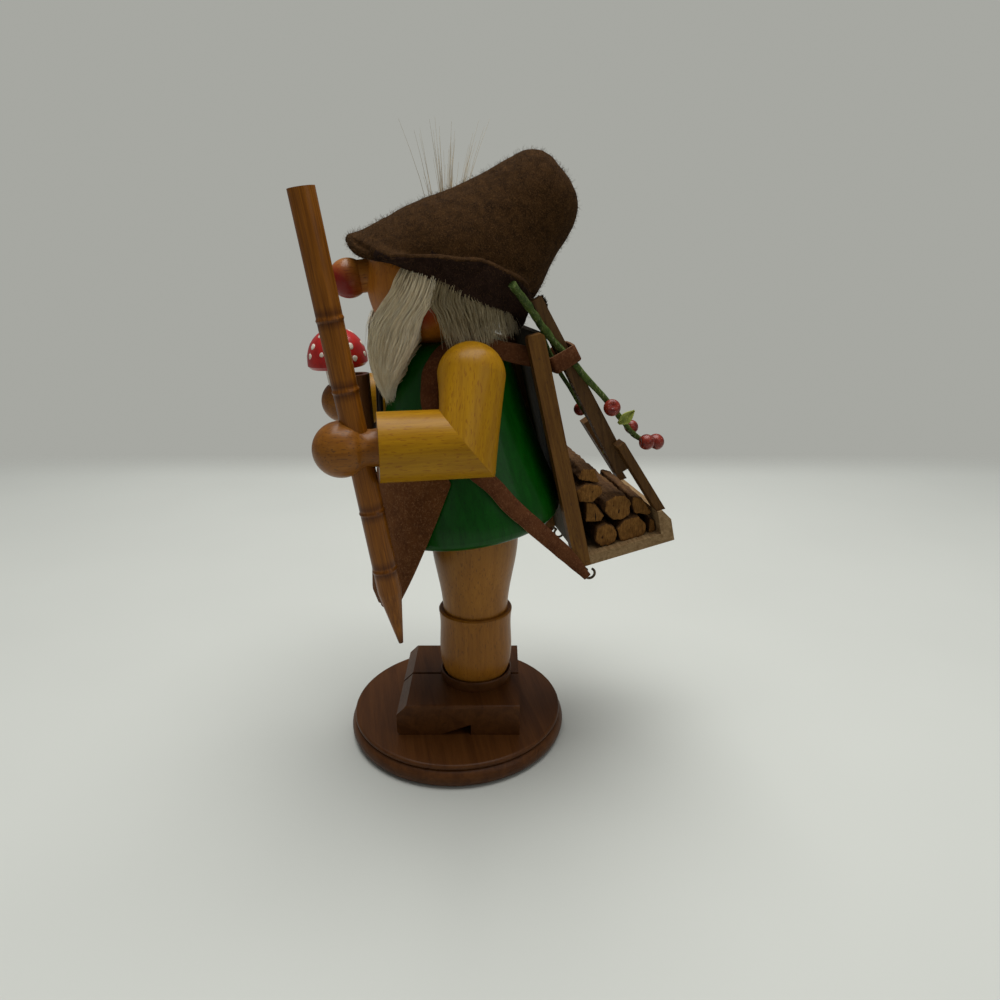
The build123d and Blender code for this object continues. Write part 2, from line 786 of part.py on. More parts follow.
# Shell of fur around the head's lower half and over the coat's neck
fur_low_h = coat_h - beard_drop
fur_full_h = coat_h - fur_full_drop
with BuildPart() as fur:
    with BuildSketch(coat_plane):
        with BuildLine():
            cheek = [(radius + soft_gap, height) for radius, height in head_line[1:7]]
            collar_rise = beard_gap * fur_collar_share
            collar_turn = (shoulder_turn[0] + collar_rise, shoulder_turn[1] + collar_rise)
            Polyline(
                *reversed(cheek),
                collar_turn,
                (coat_line[-1][0] + beard_gap, coat_line[-1][1]),
                (coat_radius(fur_low_h) + beard_gap, fur_low_h),
                (coat_radius(fur_low_h) + beard_gap + fur_end_thick, fur_low_h),
            )
            Spline(
                (coat_radius(fur_low_h) + beard_gap + fur_end_thick, fur_low_h),
                (coat_radius(fur_full_h) + beard_gap + fur_thick, fur_full_h),
                (head_r + fur_thick - fur_end_thick, coat_h + fur_neck_rise),
                (head_r + fur_thick, head_mid),
                (cheek[-1][0] + fur_thick, cheek[-1][1]),
            )
            Line((cheek[-1][0] + fur_thick, cheek[-1][1]), cheek[-1])
        make_face()
    revolve(axis=coat_axis)
    split(bisect_by=band_plane.offset(-(felt + soft_gap)), keep=Keep.BOTTOM)
    add(head_form.part, mode=Mode.SUBTRACT)
fur_slope = (fur_split_top_back - fur_split_low_back) / (face_top_z - fur_split_low_z)
fur_split_high = (fur_split_top_back + fur_slope * overrun, face_top_z + overrun)
fur_split_low = (fur_split_low_back - fur_slope * overrun, fur_split_low_z - overrun)

# Beard: the front of the fur, open at the face and slotted for the pipe's stem
with BuildPart() as beard:
    add(fur.part)
    cut_away(mid_plane, [fur_split_low, fur_split_high, (overrun, fur_split_high[1]), (overrun, fur_split_low[1])])
    cut_away(mid_plane, [
        (face_top_back, face_top_z),
        (face_low_back, face_low_z),
        (face_low_back - overrun, face_low_z),
        (face_low_back - overrun, face_top_z + overrun),
        (face_top_back, face_top_z + overrun),
    ])
    with BuildSketch(mid_plane):
        with Locations((beard_slot_back - overrun / 2, beard_slot_z - overrun / 2)):
            Rectangle(overrun, overrun)
    extrude(amount=beard_slot_w / 2, both=True, mode=Mode.SUBTRACT)
write_part(beard, "beard")

# Hair: the back of the fur
with BuildPart() as hair:
    add(fur.part)
    front_edge = fur_split_low[0] - overrun
    cut_away(mid_plane, [
        (fur_split_low[0] + fur_split_gap, fur_split_low[1]),
        (fur_split_high[0] + fur_split_gap, fur_split_high[1]),
        (front_edge, fur_split_high[1]),
        (front_edge, fur_split_low[1]),
    ])
    cut_away(mid_plane, [(front_edge, hair_low_z), (overrun, hair_low_z), (overrun, coat_z), (front_edge, coat_z)])
write_part(hair, "hair")

# Arms: the forearm lies level, the upper arm leans in to the shoulder, and they meet on a mitre with a flat elbow
mitre = math.radians(mitre_lean)
elbow = at(arm_side, elbow_back, forearm_z)
shoulder = at(shoulder_side, shoulder_back, shoulder_z)
elbow_dir = towards(0, math.sin(mitre), -math.cos(mitre))
mitre_dir = towards(0, math.cos(mitre), math.sin(mitre))
mitre_r = arm_r / math.cos(mitre)
mitre_plane = Plane(origin=elbow, x_dir=elbow_dir, z_dir=mitre_dir)
elbow_plane = Plane(origin=elbow + elbow_dir * (mitre_r - elbow_flat), x_dir=side_dir, z_dir=elbow_dir)
cuff = at(arm_side, cuff_back, forearm_z)
with BuildPart() as left_forearm:
    with BuildSketch(Plane(origin=cuff, x_dir=side_dir, z_dir=back_dir)):
        Circle(arm_r)
    extrude(amount=overrun)
    split(bisect_by=mitre_plane, keep=Keep.BOTTOM)
    split(bisect_by=elbow_plane, keep=Keep.BOTTOM)
    with BuildSketch(Plane(origin=cuff, x_dir=side_dir, z_dir=back_dir)):
        Circle(wrist_peg_r + glue_gap)
    extrude(amount=wrist_peg_l + glue_gap, mode=Mode.SUBTRACT)
write_part(left_forearm, "left_forearm")
with BuildPart() as right_forearm:
    mirror(left_forearm.part, about=mid_plane)
write_part(right_forearm, "right_forearm")
with BuildPart() as left_upper_arm:
    with BuildSketch(mitre_plane):
        Ellipse(mitre_r, arm_r)
    with BuildSketch(Plane(origin=shoulder, x_dir=elbow_dir, z_dir=shoulder - elbow)):
        Circle(arm_r)
    loft()
    with Locations(shoulder):
        Sphere(arm_r)
    split(bisect_by=elbow_plane, keep=Keep.BOTTOM)
    add(coat_form.part, mode=Mode.SUBTRACT)
    with BuildSketch(arm_dowel_plane.offset(arm_dowel_in)):
        Circle(arm_dowel_r + glue_gap)
    extrude(amount=arm_dowel_out - arm_dowel_in + glue_gap, mode=Mode.SUBTRACT)
write_part(left_upper_arm, "left_upper_arm")
with BuildPart() as right_upper_arm:
    mirror(left_upper_arm.part, about=mid_plane)
write_part(right_upper_arm, "right_upper_arm")
with BuildPart() as left_shoulder_dowel:
    with BuildSketch(arm_dowel_plane.offset(arm_dowel_in)):
        Circle(arm_dowel_r)
    extrude(amount=arm_dowel_out - arm_dowel_in)
write_part(left_shoulder_dowel, "left_shoulder_dowel")
with BuildPart() as right_shoulder_dowel:
    mirror(left_shoulder_dowel.part, about=mid_plane)
write_part(right_shoulder_dowel, "right_shoulder_dowel")

# Hand: a ball on a waisted wrist, with a peg into the cuff
wrist_l = hand_reach - math.sqrt(hand_r ** 2 - wrist_join_r ** 2)
with BuildPart() as hand_form:
    with BuildSketch(turning_plane(cuff, -back_dir)):
        with BuildLine():
            Polyline((0, -wrist_peg_l), (wrist_peg_r, -wrist_peg_l), (wrist_peg_r, 0), (wrist_r, 0))
            ThreePointArc((wrist_r, 0), (wrist_waist_r, wrist_l / 2), (wrist_join_r, wrist_l))
            ThreePointArc((wrist_join_r, wrist_l), (hand_r, hand_reach), (0, hand_reach + hand_r))
            Line((0, hand_reach + hand_r), (0, -wrist_peg_l))
        make_face()
    revolve(axis=Axis(cuff, -back_dir))

# Staff, which leans forward through the left hand
staff_turn = math.radians(staff_lean)
staff_dir = towards(0, -math.sin(staff_turn), math.cos(staff_turn))
staff_hold = at(arm_side, staff_back, forearm_z)
with BuildPart() as left_hand:
    add(hand_form.part)
    with BuildSketch(Plane(origin=staff_hold, x_dir=side_dir, z_dir=staff_dir)):
        Circle(staff_r + running_gap)
    extrude(amount=overrun, both=True, mode=Mode.SUBTRACT)
write_part(left_hand, "left_hand")
with BuildPart() as staff:
    staff_foot = staff_hold - staff_dir * staff_below_hand
    with BuildSketch(turning_plane(staff_foot, staff_dir)):
        with BuildLine():
            staff_line = [(0, 0), (staff_tip_r, 0), (staff_r, staff_tip_l)]
            for share in staff_node_shares:
                staff_line.append((staff_r, share * staff_l - staff_node_h / 2))
                staff_line.append((staff_node_r, share * staff_l))
                staff_line.append((staff_r, share * staff_l + staff_node_h / 2))
            Polyline(*staff_line, (staff_r, staff_l), (0, staff_l), close=True)
        make_face()
    revolve(axis=Axis(staff_foot, staff_dir))
write_part(staff, "staff")

# Mushroom on a flat of the right hand
mushroom_turn = math.radians(mushroom_lean)
mushroom_dir = towards(0, -math.sin(mushroom_turn), math.cos(mushroom_turn))
mushroom_seat = at(-arm_side, cuff_back - hand_reach, forearm_z) + mushroom_dir * stem_seat
mushroom_plane = turning_plane(mushroom_seat, mushroom_dir)
mushroom_axis = Axis(mushroom_seat, mushroom_dir)
with BuildPart() as right_hand:
    mirror(hand_form.part, about=mid_plane)
    split(bisect_by=Plane(origin=mushroom_seat, x_dir=side_dir, z_dir=mushroom_dir), keep=Keep.BOTTOM)
    with BuildSketch(Plane(origin=mushroom_seat, x_dir=side_dir, z_dir=mushroom_dir)):
        Circle(stem_peg_r + glue_gap)
    extrude(amount=-(stem_peg_l + glue_gap), mode=Mode.SUBTRACT)
write_part(right_hand, "right_hand")
with BuildPart() as mushroom_stem:
    with BuildSketch(mushroom_plane):
        with BuildLine():
            Polyline(
                (0, -stem_peg_l),
                (stem_peg_r, -stem_peg_l),
                (stem_peg_r, 0),
                (stem_foot_r, 0),
                (stem_r, stem_h),
                (0, stem_h),
                close=True,
            )
        make_face()
    revolve(axis=mushroom_axis)
write_part(mushroom_stem, "mushroom_stem")
with BuildPart() as mushroom_cap:
    with BuildSketch(mushroom_plane):
        with BuildLine():
            rim_low = (cap_r - cap_lip_w, stem_h - cap_hollow)
            rim_high = (cap_r, stem_h - cap_hollow + cap_lip_w)
            cap_top = (0, stem_h - cap_hollow + cap_h)
            cap_side = (cap_dome_share * cap_r, rim_high[1] + cap_dome_share * (cap_top[1] - rim_high[1]))
            Polyline(cap_top, (0, stem_h), (stem_r, stem_h), rim_low, rim_high)
            Spline(rim_high, cap_side, cap_top, tangents=[(0, 1), (-1, 0)])
        make_face()
    revolve(axis=mushroom_axis)
write_part(mushroom_cap, "mushroom_cap")

# Pipe: a bored bowl, and a stem bent from the mouth down to the bowl's foot
bowl_turn = math.radians(bowl_lean)
bowl_dir = towards(0, -math.sin(bowl_turn), math.cos(bowl_turn))
bowl_foot = at(0, bowl_back, bowl_foot_z)
with BuildPart() as pipe_bowl:
    with BuildSketch(turning_plane(bowl_foot, bowl_dir)):
        with BuildLine():
            foot_turn = bowl_foot_r * (1 - math.sqrt(0.5))
            Line((0, 0), (bowl_r - bowl_foot_r, 0))
            ThreePointArc((bowl_r - bowl_foot_r, 0), (bowl_r - foot_turn, foot_turn), (bowl_r, bowl_foot_r))
            Polyline(
                (bowl_r, bowl_foot_r),
                (bowl_r, bowl_h),
                (bowl_bore_r, bowl_h),
                (bowl_bore_r, bowl_h - bowl_bore_deep),
                (0, bowl_h - bowl_bore_deep),
                (0, 0),
            )
        make_face()
    revolve(axis=Axis(bowl_foot, bowl_dir))
write_part(pipe_bowl, "pipe_bowl")
with BuildPart() as pipe_stem:
    with BuildLine() as stem_run:
        FilletPolyline(*pipe_points, radius=(pipe_bend_r, pipe_foot_bend_r))
    with BuildSketch(Plane(origin=stem_run.line @ 0, x_dir=side_dir, z_dir=stem_run.line % 0)):
        Circle(pipe_stem_r)
    sweep(path=stem_run.line)
    add(pipe_bowl.part, mode=Mode.SUBTRACT)
write_part(pipe_stem, "pipe_stem")

# Apron: a turned sheet of leather, cut to its side edges and its pointed hem
apron_slope = (apron_side_top_back - apron_side_low_back) / (apron_side_top_z - apron_side_low_z)
with BuildPart() as apron:
    with BuildSketch(coat_plane):
        with BuildLine():
            apron_line = [(wide * coat_r, high * coat_h) for high, wide in apron_drop_shares]
            apron_face = [(radius + leather, height) for radius, height in reversed(apron_line)]
            Spline(*apron_line)
            Spline(*apron_face)
            Line(apron_line[-1], apron_face[0])
            Line(apron_face[-1], apron_line[0])
        make_face()
    revolve(axis=coat_axis)
    cut_away(mid_plane, [
        (apron_side_low_back - apron_slope * overrun, apron_side_low_z - overrun),
        (apron_side_top_back + apron_slope * overrun, apron_side_top_z + overrun),
        (overrun, apron_side_top_z + overrun),
        (overrun, apron_side_low_z - overrun),
    ])
    notch_slope = (apron_notch_top_back - apron_notch_low_back) / (apron_notch_top_z - apron_notch_low_z)
    cut_away(mid_plane, [
        (apron_notch_low_back, apron_notch_low_z),
        (apron_notch_low_back + notch_slope * overrun, apron_notch_low_z + overrun),
        (overrun, apron_notch_low_z + overrun),
        (overrun, apron_notch_low_z),
    ])
    hem_rise = (apron_corner_z - apron_tip_z) / apron_corner_side * overrun
    cut_away(Plane(origin=at(0, 0, 0), x_dir=side_dir, z_dir=-back_dir), [
        (0, apron_tip_z),
        (overrun, apron_tip_z + hem_rise),
        (overrun, 0),
        (-overrun, 0),
        (-overrun, apron_tip_z + hem_rise),
    ])
write_part(apron, "apron")

# Back carrier's frame: outwards along its shelf and up along its posts
rack_turn = math.radians(carrier_lean)
rack_out = towards(0, math.cos(rack_turn), math.sin(rack_turn))
rack_up = towards(0, -math.sin(rack_turn), math.cos(rack_turn))
rack_origin = at(0, carrier_back, carrier_z)
rack_plane = Plane(origin=rack_origin, x_dir=rack_out, z_dir=side_dir)


def rack_point(side, out, up):
    """Gives a point by its distances to the side, outwards and up on the carrier."""
    return rack_origin + side_dir * side + rack_out * out + rack_up * up


def rack_points(shares):
    """Gives points by their shares of the carrier's half width, its shelf's depth and its posts' height."""
    return [rack_point(side * carrier_half_w, out * shelf_deep, up * post_h) for side, out, up in shares]


def box_outline(low_x, low_y, high_x, high_y):
    """Gives the four corners of a box in a plane."""
    return [(low_x, low_y), (high_x, low_y), (high_x, high_y), (low_x, high_y)]


# Posts, with a hole in the foot for the screw eye
post_in_side = carrier_half_w - post_w
post_mid_side = carrier_half_w - post_w / 2
eye_point = rack_point(post_mid_side, eye_out, -eye_drop)
eye_foot = rack_point(post_mid_side, (post_front + post_rear) / 2, 0)
eye_dir = (eye_foot - eye_point).normalized()
with BuildPart() as left_post:
    slab(rack_plane.offset(post_in_side), box_outline(post_front, 0, post_rear, post_h), post_w)
    post_tops = left_post.edges().filter_by(Axis(rack_origin, side_dir)).group_by(Axis(rack_origin, rack_up))[-1]
    fillet(post_tops, post_edge_r)
    with BuildSketch(Plane(origin=eye_foot, x_dir=side_dir, z_dir=eye_dir)):
        Circle(eye_wire_r + glue_gap)
    extrude(amount=eye_shank_l, both=True, mode=Mode.SUBTRACT)
write_part(left_post, "left_post")
with BuildPart() as right_post:
    mirror(left_post.part, about=mid_plane)
write_part(right_post, "right_post")

# Board between the posts, shelf behind them and the lip along the shelf's edge
with BuildPart() as back_board:
    board_outline = box_outline(post_rear - board_thick, 0, post_rear, post_h)
    slab(rack_plane.offset(-post_in_side), board_outline, 2 * post_in_side)
write_part(back_board, "back_board")
with BuildPart() as shelf:
    shelf_outline = box_outline(post_rear, 0, shelf_deep, shelf_thick)
    slab(rack_plane.offset(-carrier_half_w), shelf_outline, 2 * carrier_half_w)
write_part(shelf, "shelf")
lip_top = shelf_thick + lip_h
with BuildPart() as shelf_lip:
    lip_outline = [
        (shelf_deep - lip_w, shelf_thick),
        (shelf_deep, shelf_thick),
        (shelf_deep, lip_top - lip_slope_h),
        (shelf_deep - lip_slope_w, lip_top),
        (shelf_deep - lip_w, lip_top),
    ]
    slab(rack_plane.offset(-carrier_half_w), lip_outline, 2 * carrier_half_w)
write_part(shelf_lip, "shelf_lip")

# Two slats that lean in from the lip
slat_turn = math.radians(slat_lean)
slat_run = Vector(-math.sin(slat_turn), math.cos(slat_turn))
slat_across = Vector(math.cos(slat_turn), math.sin(slat_turn)) * slat_thick / 2
slat_top = Vector(slat_foot_out, lip_top) + slat_run * slat_l
slat_foot_half = slat_thick / 2 / math.cos(slat_turn)
with BuildPart() as left_slat:
    slat_outline = [
        (slat_foot_out - slat_foot_half, lip_top),
        (slat_foot_out + slat_foot_half, lip_top),
        ((slat_top + slat_across).X, (slat_top + slat_across).Y),
        ((slat_top - slat_across).X, (slat_top - slat_across).Y),
    ]
    slab(rack_plane.offset(carrier_half_w - slat_inset - slat_w), slat_outline, slat_w)
write_part(left_slat, "left_slat")
with BuildPart() as right_slat:
    mirror(left_slat.part, about=mid_plane)
write_part(right_slat, "right_slat")

# Stake that leans from the logs to the board's top
stake_foot = Vector(stake_foot_out, stake_foot_w)
stake_top = Vector(stake_top_out, stake_top_w)
stake_run = (stake_top - stake_foot).normalized()
stake_across = Vector(stake_run.Y, -stake_run.X)
with BuildPart() as stake:
    stake_outline = []
    for end, half in ((stake_foot, stake_foot_d / 2), (stake_top, -stake_top_d / 2)):
        for corner in (end - stake_across * half, end + stake_across * half):
            stake_outline.append((corner.X, corner.Y))
    slab(rack_plane.offset(stake_side - stake_w / 2), stake_outline, stake_w)
write_part(stake, "stake")

# Leather band around the stake and both twigs, with a tail to the board
band_mid = stake_top + (stake_foot - stake_top) * band_along_share
band_hold = rack_point(0, band_mid.X, band_mid.Y)
band_run = rack_out * stake_run.X + rack_up * stake_run.Y
with BuildPart() as tie_band:
    with BuildSketch(Plane(origin=band_hold, x_dir=side_dir, z_dir=band_run)):
        with BuildLine():
            band_low = (band_in_side - leather, -band_front_reach - leather)
            band_high = (band_out_side + leather, band_rear_reach + leather)
            Polyline(*box_outline(*band_low, *band_high), close=True)
        make_face()
        with BuildLine():
            Polyline(*box_outline(band_in_side, -band_front_reach, band_out_side, band_rear_reach), close=True)
        make_face(mode=Mode.SUBTRACT)
    extrude(amount=band_l / 2, both=True)
    tail_end = band_mid.X - band_front_reach - leather / 2
    tail_outline = box_outline(post_rear + glue_gap, band_mid.Y - band_l, tail_end, band_mid.Y)
    slab(rack_plane.offset(stake_side - band_tail_w / 2), tail_outline, band_tail_w)
write_part(tie_band, "tie_band")

# Split logs, each an outline in the carrier's side view
for number, (length_share, outline_shares) in enumerate(log_shares, start=1):
    with BuildPart() as log:
        log_outline = []
        for out_share, up_share in outline_shares:
            log_out = post_rear + (out_share - log_back_share) * shelf_deep
            log_outline.append((log_out, shelf_thick + glue_gap + (up_share - log_floor_share) * shelf_deep))
        slab(rack_plane.offset(-log_l * length_share / 2), log_outline, log_l * length_share)
        fillet(log.edges().filter_by(Axis(rack_origin, side_dir)), log_edge_r)
    write_part(log, f"log_{number}")

# Screw eyes in the posts' feet: an open ring on a straight shank
with BuildPart() as left_screw_eye:
    lap = math.radians(eye_lap_turn)
    ring_dir = eye_dir * math.cos(lap) - side_dir.cross(eye_dir) * math.sin(lap)
    with Locations(Plane(origin=eye_point, x_dir=ring_dir, z_dir=side_dir)):
        Torus(eye_r, eye_wire_r, major_angle=360 - eye_gap_turn)
    with BuildSketch(Plane(origin=eye_point + eye_dir * eye_r, x_dir=side_dir, z_dir=eye_dir)):
        Circle(eye_wire_r)
    extrude(amount=(eye_foot - eye_point).length - eye_r + eye_shank_l)
write_part(left_screw_eye, "left_screw_eye")
with BuildPart() as right_screw_eye:
    mirror(left_screw_eye.part, about=mid_plane)
write_part(right_screw_eye, "right_screw_eye")


def coat_run(shares):
    """Gives the points and outward directions of a strap that lies on the coat."""
    run, faces = [], []
    for high, angle in shares:
        height = high * coat_h
        slope = (coat_radius(height + strap_gap) - coat_radius(height - strap_gap)) / (2 * strap_gap)
        run.append(coat_point(height, angle, coat_radius(height) + strap_gap + leather / 2))
        faces.append((coat_point(0, angle, 1) - coat_origin - coat_axis_dir * slope).normalized())
    return run, faces


# Shoulder straps: up the coat's side, over the shoulder and back to the board
shoulder_run, shoulder_faces = coat_run(shoulder_strap_shares)
collar = coat_point(coat_h, 0, 0)
shoulder_run.append(collar + towards(strap_rise_side, strap_rise_back, strap_rise_up))
shoulder_faces.append(towards(*strap_rise_shares))
shoulder_run.append(collar + towards(strap_over_side, strap_over_back, strap_over_up))
shoulder_faces.append(towards(*strap_over_shares))
shoulder_run.append(collar + towards(strap_behind_side, strap_behind_back, strap_behind_up))
shoulder_faces.append(side_dir)
shoulder_run.append(rack_point(strap_nail_side, post_rear, strap_nail_w))
shoulder_faces.append(side_dir)
shoulder_widths = [strap_w] * len(shoulder_run)
shoulder_widths[-4:-2] = [strap_w * strap_pinch_share] * 2
with BuildPart() as left_shoulder_strap:
    strip(shoulder_run, shoulder_faces, shoulder_widths, leather)
    cut_away(rack_plane, box_outline(post_rear - board_thick - soft_gap, 0, overrun, post_h + overrun))
write_part(left_shoulder_strap, "left_shoulder_strap")
with BuildPart() as right_shoulder_strap:
    mirror(left_shoulder_strap.part, about=mid_plane)
write_part(right_shoulder_strap, "right_shoulder_strap")

# Lower straps: round the coat's side, down to the screw eyes
lower_run, lower_faces = coat_run(lower_strap_shares)
lower_run.append(at(strap_hang_side, strap_hang_back, strap_hang_z))
lower_faces.append(towards(*strap_hang_shares))
lower_run.append(at(strap_fall_side, strap_fall_back, strap_fall_z))
lower_faces.append(side_dir)
lower_run.append(eye_point + side_dir * (post_w / 2 + soft_gap + leather / 2))
lower_faces.append(side_dir)
with BuildPart() as left_lower_strap:
    strip(lower_run, lower_faces, [strap_w] * len(lower_run), leather)
write_part(left_lower_strap, "left_lower_strap")
with BuildPart() as right_lower_strap:
    mirror(left_lower_strap.part, about=mid_plane)
write_part(right_lower_strap, "right_lower_strap")

# Twigs under the band, and the small cone on the far one's end
near_run = rack_points(near_twig_shares)
near_radii = [twig_r + (twig_end_r - twig_r) * step / (len(near_run) - 1) for step in range(len(near_run))]
far_run = rack_points(far_twig_shares)
far_radii = [twig_end_r] * len(far_run)
with BuildPart() as near_twig:
    rod(near_run, near_radii)
write_part(near_twig, "near_twig")
with BuildPart() as far_twig:
    rod(far_run, far_radii)
write_part(far_twig, "far_twig")
cone_dir = (far_run[0] - far_run[1]).normalized()
cone_foot = far_run[0] + cone_dir * glue_gap
with BuildPart() as small_cone:
    with BuildSketch(turning_plane(cone_foot, cone_dir)):
        with BuildLine():
            Spline((0, 0), (cone_r, cone_wide_share * cone_l), (0, cone_l), tangents=[(1, 0), (-1, 1)])
            Line((0, cone_l), (0, 0))
        make_face()
    revolve(axis=Axis(cone_foot, cone_dir))
write_part(small_cone, "small_cone")

# Berries, each with a flat that lies against the nearest twig, and leaves
twig_parts = list(zip(near_run, near_run[1:], near_radii)) + list(zip(far_run, far_run[1:], far_radii))


def nearest_twig(point):
    """Gives the place on the twigs that lies nearest to a point, with the twig's direction and radius there."""
    best = None
    for start, end, radius in twig_parts:
        along = (end - start).normalized()
        place = start + along * min(max((point - start).dot(along), 0), (end - start).length)
        if best is None or (point - place).length < (point - best[0]).length:
            best = (place, along, radius)
    return best


with BuildPart() as berries:
    for point in rack_points(berry_shares):
        place, along, radius = nearest_twig(point)
        facing = (point - place).normalized()
        seat = place + facing * (radius * facing.cross(along).length + running_gap)
        with BuildPart(mode=Mode.PRIVATE) as berry:
            with Locations(Plane(origin=point, z_dir=facing)):
                Sphere(berry_r)
            split(bisect_by=Plane(origin=seat, z_dir=facing), keep=Keep.TOP)
        add(berry.part)
write_part(berries, "berries")
with BuildPart() as leaves:
    for point in rack_points(leaf_shares):
        with BuildSketch(Plane(origin=point, x_dir=rack_out + rack_up, z_dir=side_dir)):
            Ellipse(leaf_l / 2, leaf_w / 2)
    extrude(amount=leaf_thick / 2, both=True)
write_part(leaves, "leaves")
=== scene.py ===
"""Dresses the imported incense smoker: felt hat, fur beard, leather apron, split logs and each wood's finish.

Metres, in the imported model's frame. Sizes are written in millimetres and made metres where a mesh is built.
"""

import logging
import math
import random
from dataclasses import dataclass
from enum import Enum
from typing import Protocol

import bmesh
import bpy
from mathutils import Matrix, Vector, noise
from mathutils.bvhtree import BVHTree


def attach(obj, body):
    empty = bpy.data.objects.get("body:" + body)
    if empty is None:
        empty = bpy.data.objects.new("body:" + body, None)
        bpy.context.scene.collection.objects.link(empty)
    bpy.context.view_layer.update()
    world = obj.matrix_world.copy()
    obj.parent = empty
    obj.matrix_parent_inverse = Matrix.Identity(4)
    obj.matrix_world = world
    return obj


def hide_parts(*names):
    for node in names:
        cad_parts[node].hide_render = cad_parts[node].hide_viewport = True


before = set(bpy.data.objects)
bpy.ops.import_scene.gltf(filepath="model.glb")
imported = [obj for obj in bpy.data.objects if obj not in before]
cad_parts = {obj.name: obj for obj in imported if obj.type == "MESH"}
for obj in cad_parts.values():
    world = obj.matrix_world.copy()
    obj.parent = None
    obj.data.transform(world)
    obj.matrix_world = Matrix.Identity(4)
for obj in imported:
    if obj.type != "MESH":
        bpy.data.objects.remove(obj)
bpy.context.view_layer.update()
LOG = logging.getLogger("smoker")
MM = 0.001

# The upper figure's turn about the legs' axis, its directions, and its middle on the floor in millimetres
TURN = math.radians(11.0)
SIDE = Vector((math.cos(TURN), math.sin(TURN), 0))
BACK = Vector((-math.sin(TURN), math.cos(TURN), 0))
UP = Vector((0, 0, 1))
FIGURE_FOOT = Vector((0, 8, 0))

# The turn from one scale of a cone to the next
GOLDEN_ANGLE = math.pi * (3 - math.sqrt(5))

# A pair is light and dark, suede is plain, shaded and worn, and rows are places with the size at each
Colour = tuple[float, float, float]
Pair = tuple[Colour, Colour]
Suede = tuple[Colour, Colour, Colour]
Place = tuple[float, float, float]
Rows = tuple[tuple[float, float], ...]
WHITE: Colour = (1, 1, 1)
BLACK: Colour = (0, 0, 0)
Object = bpy.types.Object
Socket = bpy.types.NodeSocket


class Grain(Enum):
    """Directions of wood grain, as shares of the upper figure's side, back and up."""

    UPRIGHT = (0.0, 0.0, 1.0)
    COAT = (0.0, -0.1305, 0.9914)
    FOREARM = (0.0, 1.0, 0.0)
    UPPER_ARM = (-0.43, 0.135, 0.89)
    ACROSS = (1.0, 0.0, 0.0)
    RACK = (0.0, -0.225, 0.974)
    STAFF = (0.0, -0.148, 0.989)

    def turned(self) -> Place:
        """Gives the turn that brings a pattern's third axis along the grain."""
        return tuple(towards(*self.value).to_track_quat("Z", "Y").to_euler())


def towards(side: float, back: float, up: float) -> Vector:
    """Gives a direction from its shares along the upper figure's side, back and up.

    Args:
        side: Share towards the figure's left.
        back: Share towards its back.
        up: Share upwards.

    Returns:
        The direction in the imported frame, not normalised.
    """
    return SIDE * side + BACK * back + UP * up


def at(side: float, back: float, up: float) -> Vector:
    """Gives a place from its distances along the upper figure's directions.

    Args:
        side: Millimetres towards the figure's left.
        back: Millimetres towards its back.
        up: Millimetres above the floor.

    Returns:
        The place in metres.
    """
    return (FIGURE_FOOT + towards(side, back, up)) * MM


def between(rows: Rows, value: float) -> float:
    """Reads a table of rising places and sizes.

    Args:
        rows: Pairs of a place and the size there.
        value: The place to read at.

    Returns:
        The size, in between rows by a straight line.
    """
    for (low, first), (high, second) in zip(rows, rows[1:]):
        if value <= high:
            return first + (second - first) * max(0.0, value - low) / (high - low)
    return rows[-1][1]


def smooth_line(points: list[Vector], steps: int, closed: bool = False) -> list[Vector]:
    """Runs a smooth line through points.

    Args:
        points: The places that the line goes through.
        steps: Places to give between each two of them.
        closed: Whether the line comes back to its start.

    Returns:
        The line's places.
    """
    count = len(points)
    spans = count if closed else count - 1
    line = []
    for span in range(spans):
        if closed:
            near = [points[(span + k) % count] for k in (-1, 0, 1, 2)]
        else:
            near = [points[min(max(span + k, 0), count - 1)] for k in (-1, 0, 1, 2)]
        before, start, end, after = near
        for step in range(steps):
            t = step / steps
            line.append(0.5 * (2 * start + (end - before) * t
                               + (2 * before - 5 * start + 4 * end - after) * t * t
                               + (3 * start - before - 3 * end + after) * t ** 3))
    if not closed:
        line.append(points[-1].copy())
    return line


@dataclass(frozen=True)
class CoatFrame:
    """The leaning axis of the coat and the head, with the coat's outline, in millimetres."""

    lean: float = math.radians(7.5)
    foot_back: float = -1.4
    foot_up: float = 94.0
    height: float = 70.5
    outline: Rows = (
        (3.17, 35.3), (9.17, 34.7), (17.98, 32.41), (29.96, 29.3), (45.12, 25.91), (59.93, 22.91),
        (65.57, 21.18), (68.03, 19.8), (70.5, 15.18),
    )
    head_mid: float = 90.5
    head_r: float = 24.0
    least_r: float = 2.0

    @property
    def axis(self) -> Vector:
        """The direction up the axis."""
        return towards(0, -math.sin(self.lean), math.cos(self.lean))

    @property
    def front(self) -> Vector:
        """The direction forwards, square to the axis."""
        return towards(0, -math.cos(self.lean), -math.sin(self.lean))

    def out(self, angle: float) -> Vector:
        """Gives the direction out from the axis at an angle in degrees from the front."""
        return self.front * math.cos(math.radians(angle)) + SIDE * math.sin(math.radians(angle))

    def point(self, height: float, angle: float, radius: float) -> Vector:
        """Gives a place by its height on the axis, its angle from the front and its distance from the axis.

        Args:
            height: Millimetres above the coat's foot.
            angle: Degrees from the front, towards the figure's left.
            radius: Millimetres from the axis.

        Returns:
            The place in metres.
        """
        return at(0, self.foot_back, self.foot_up) + (self.axis * height + self.out(angle) * radius) * MM

    def radius(self, height: float) -> float:
        """Gives the coat's or the head's outer radius at a height in millimetres."""
        if height <= self.height:
            return between(self.outline, height)
        return math.sqrt(max(self.least_r ** 2, self.head_r ** 2 - (height - self.head_mid) ** 2))


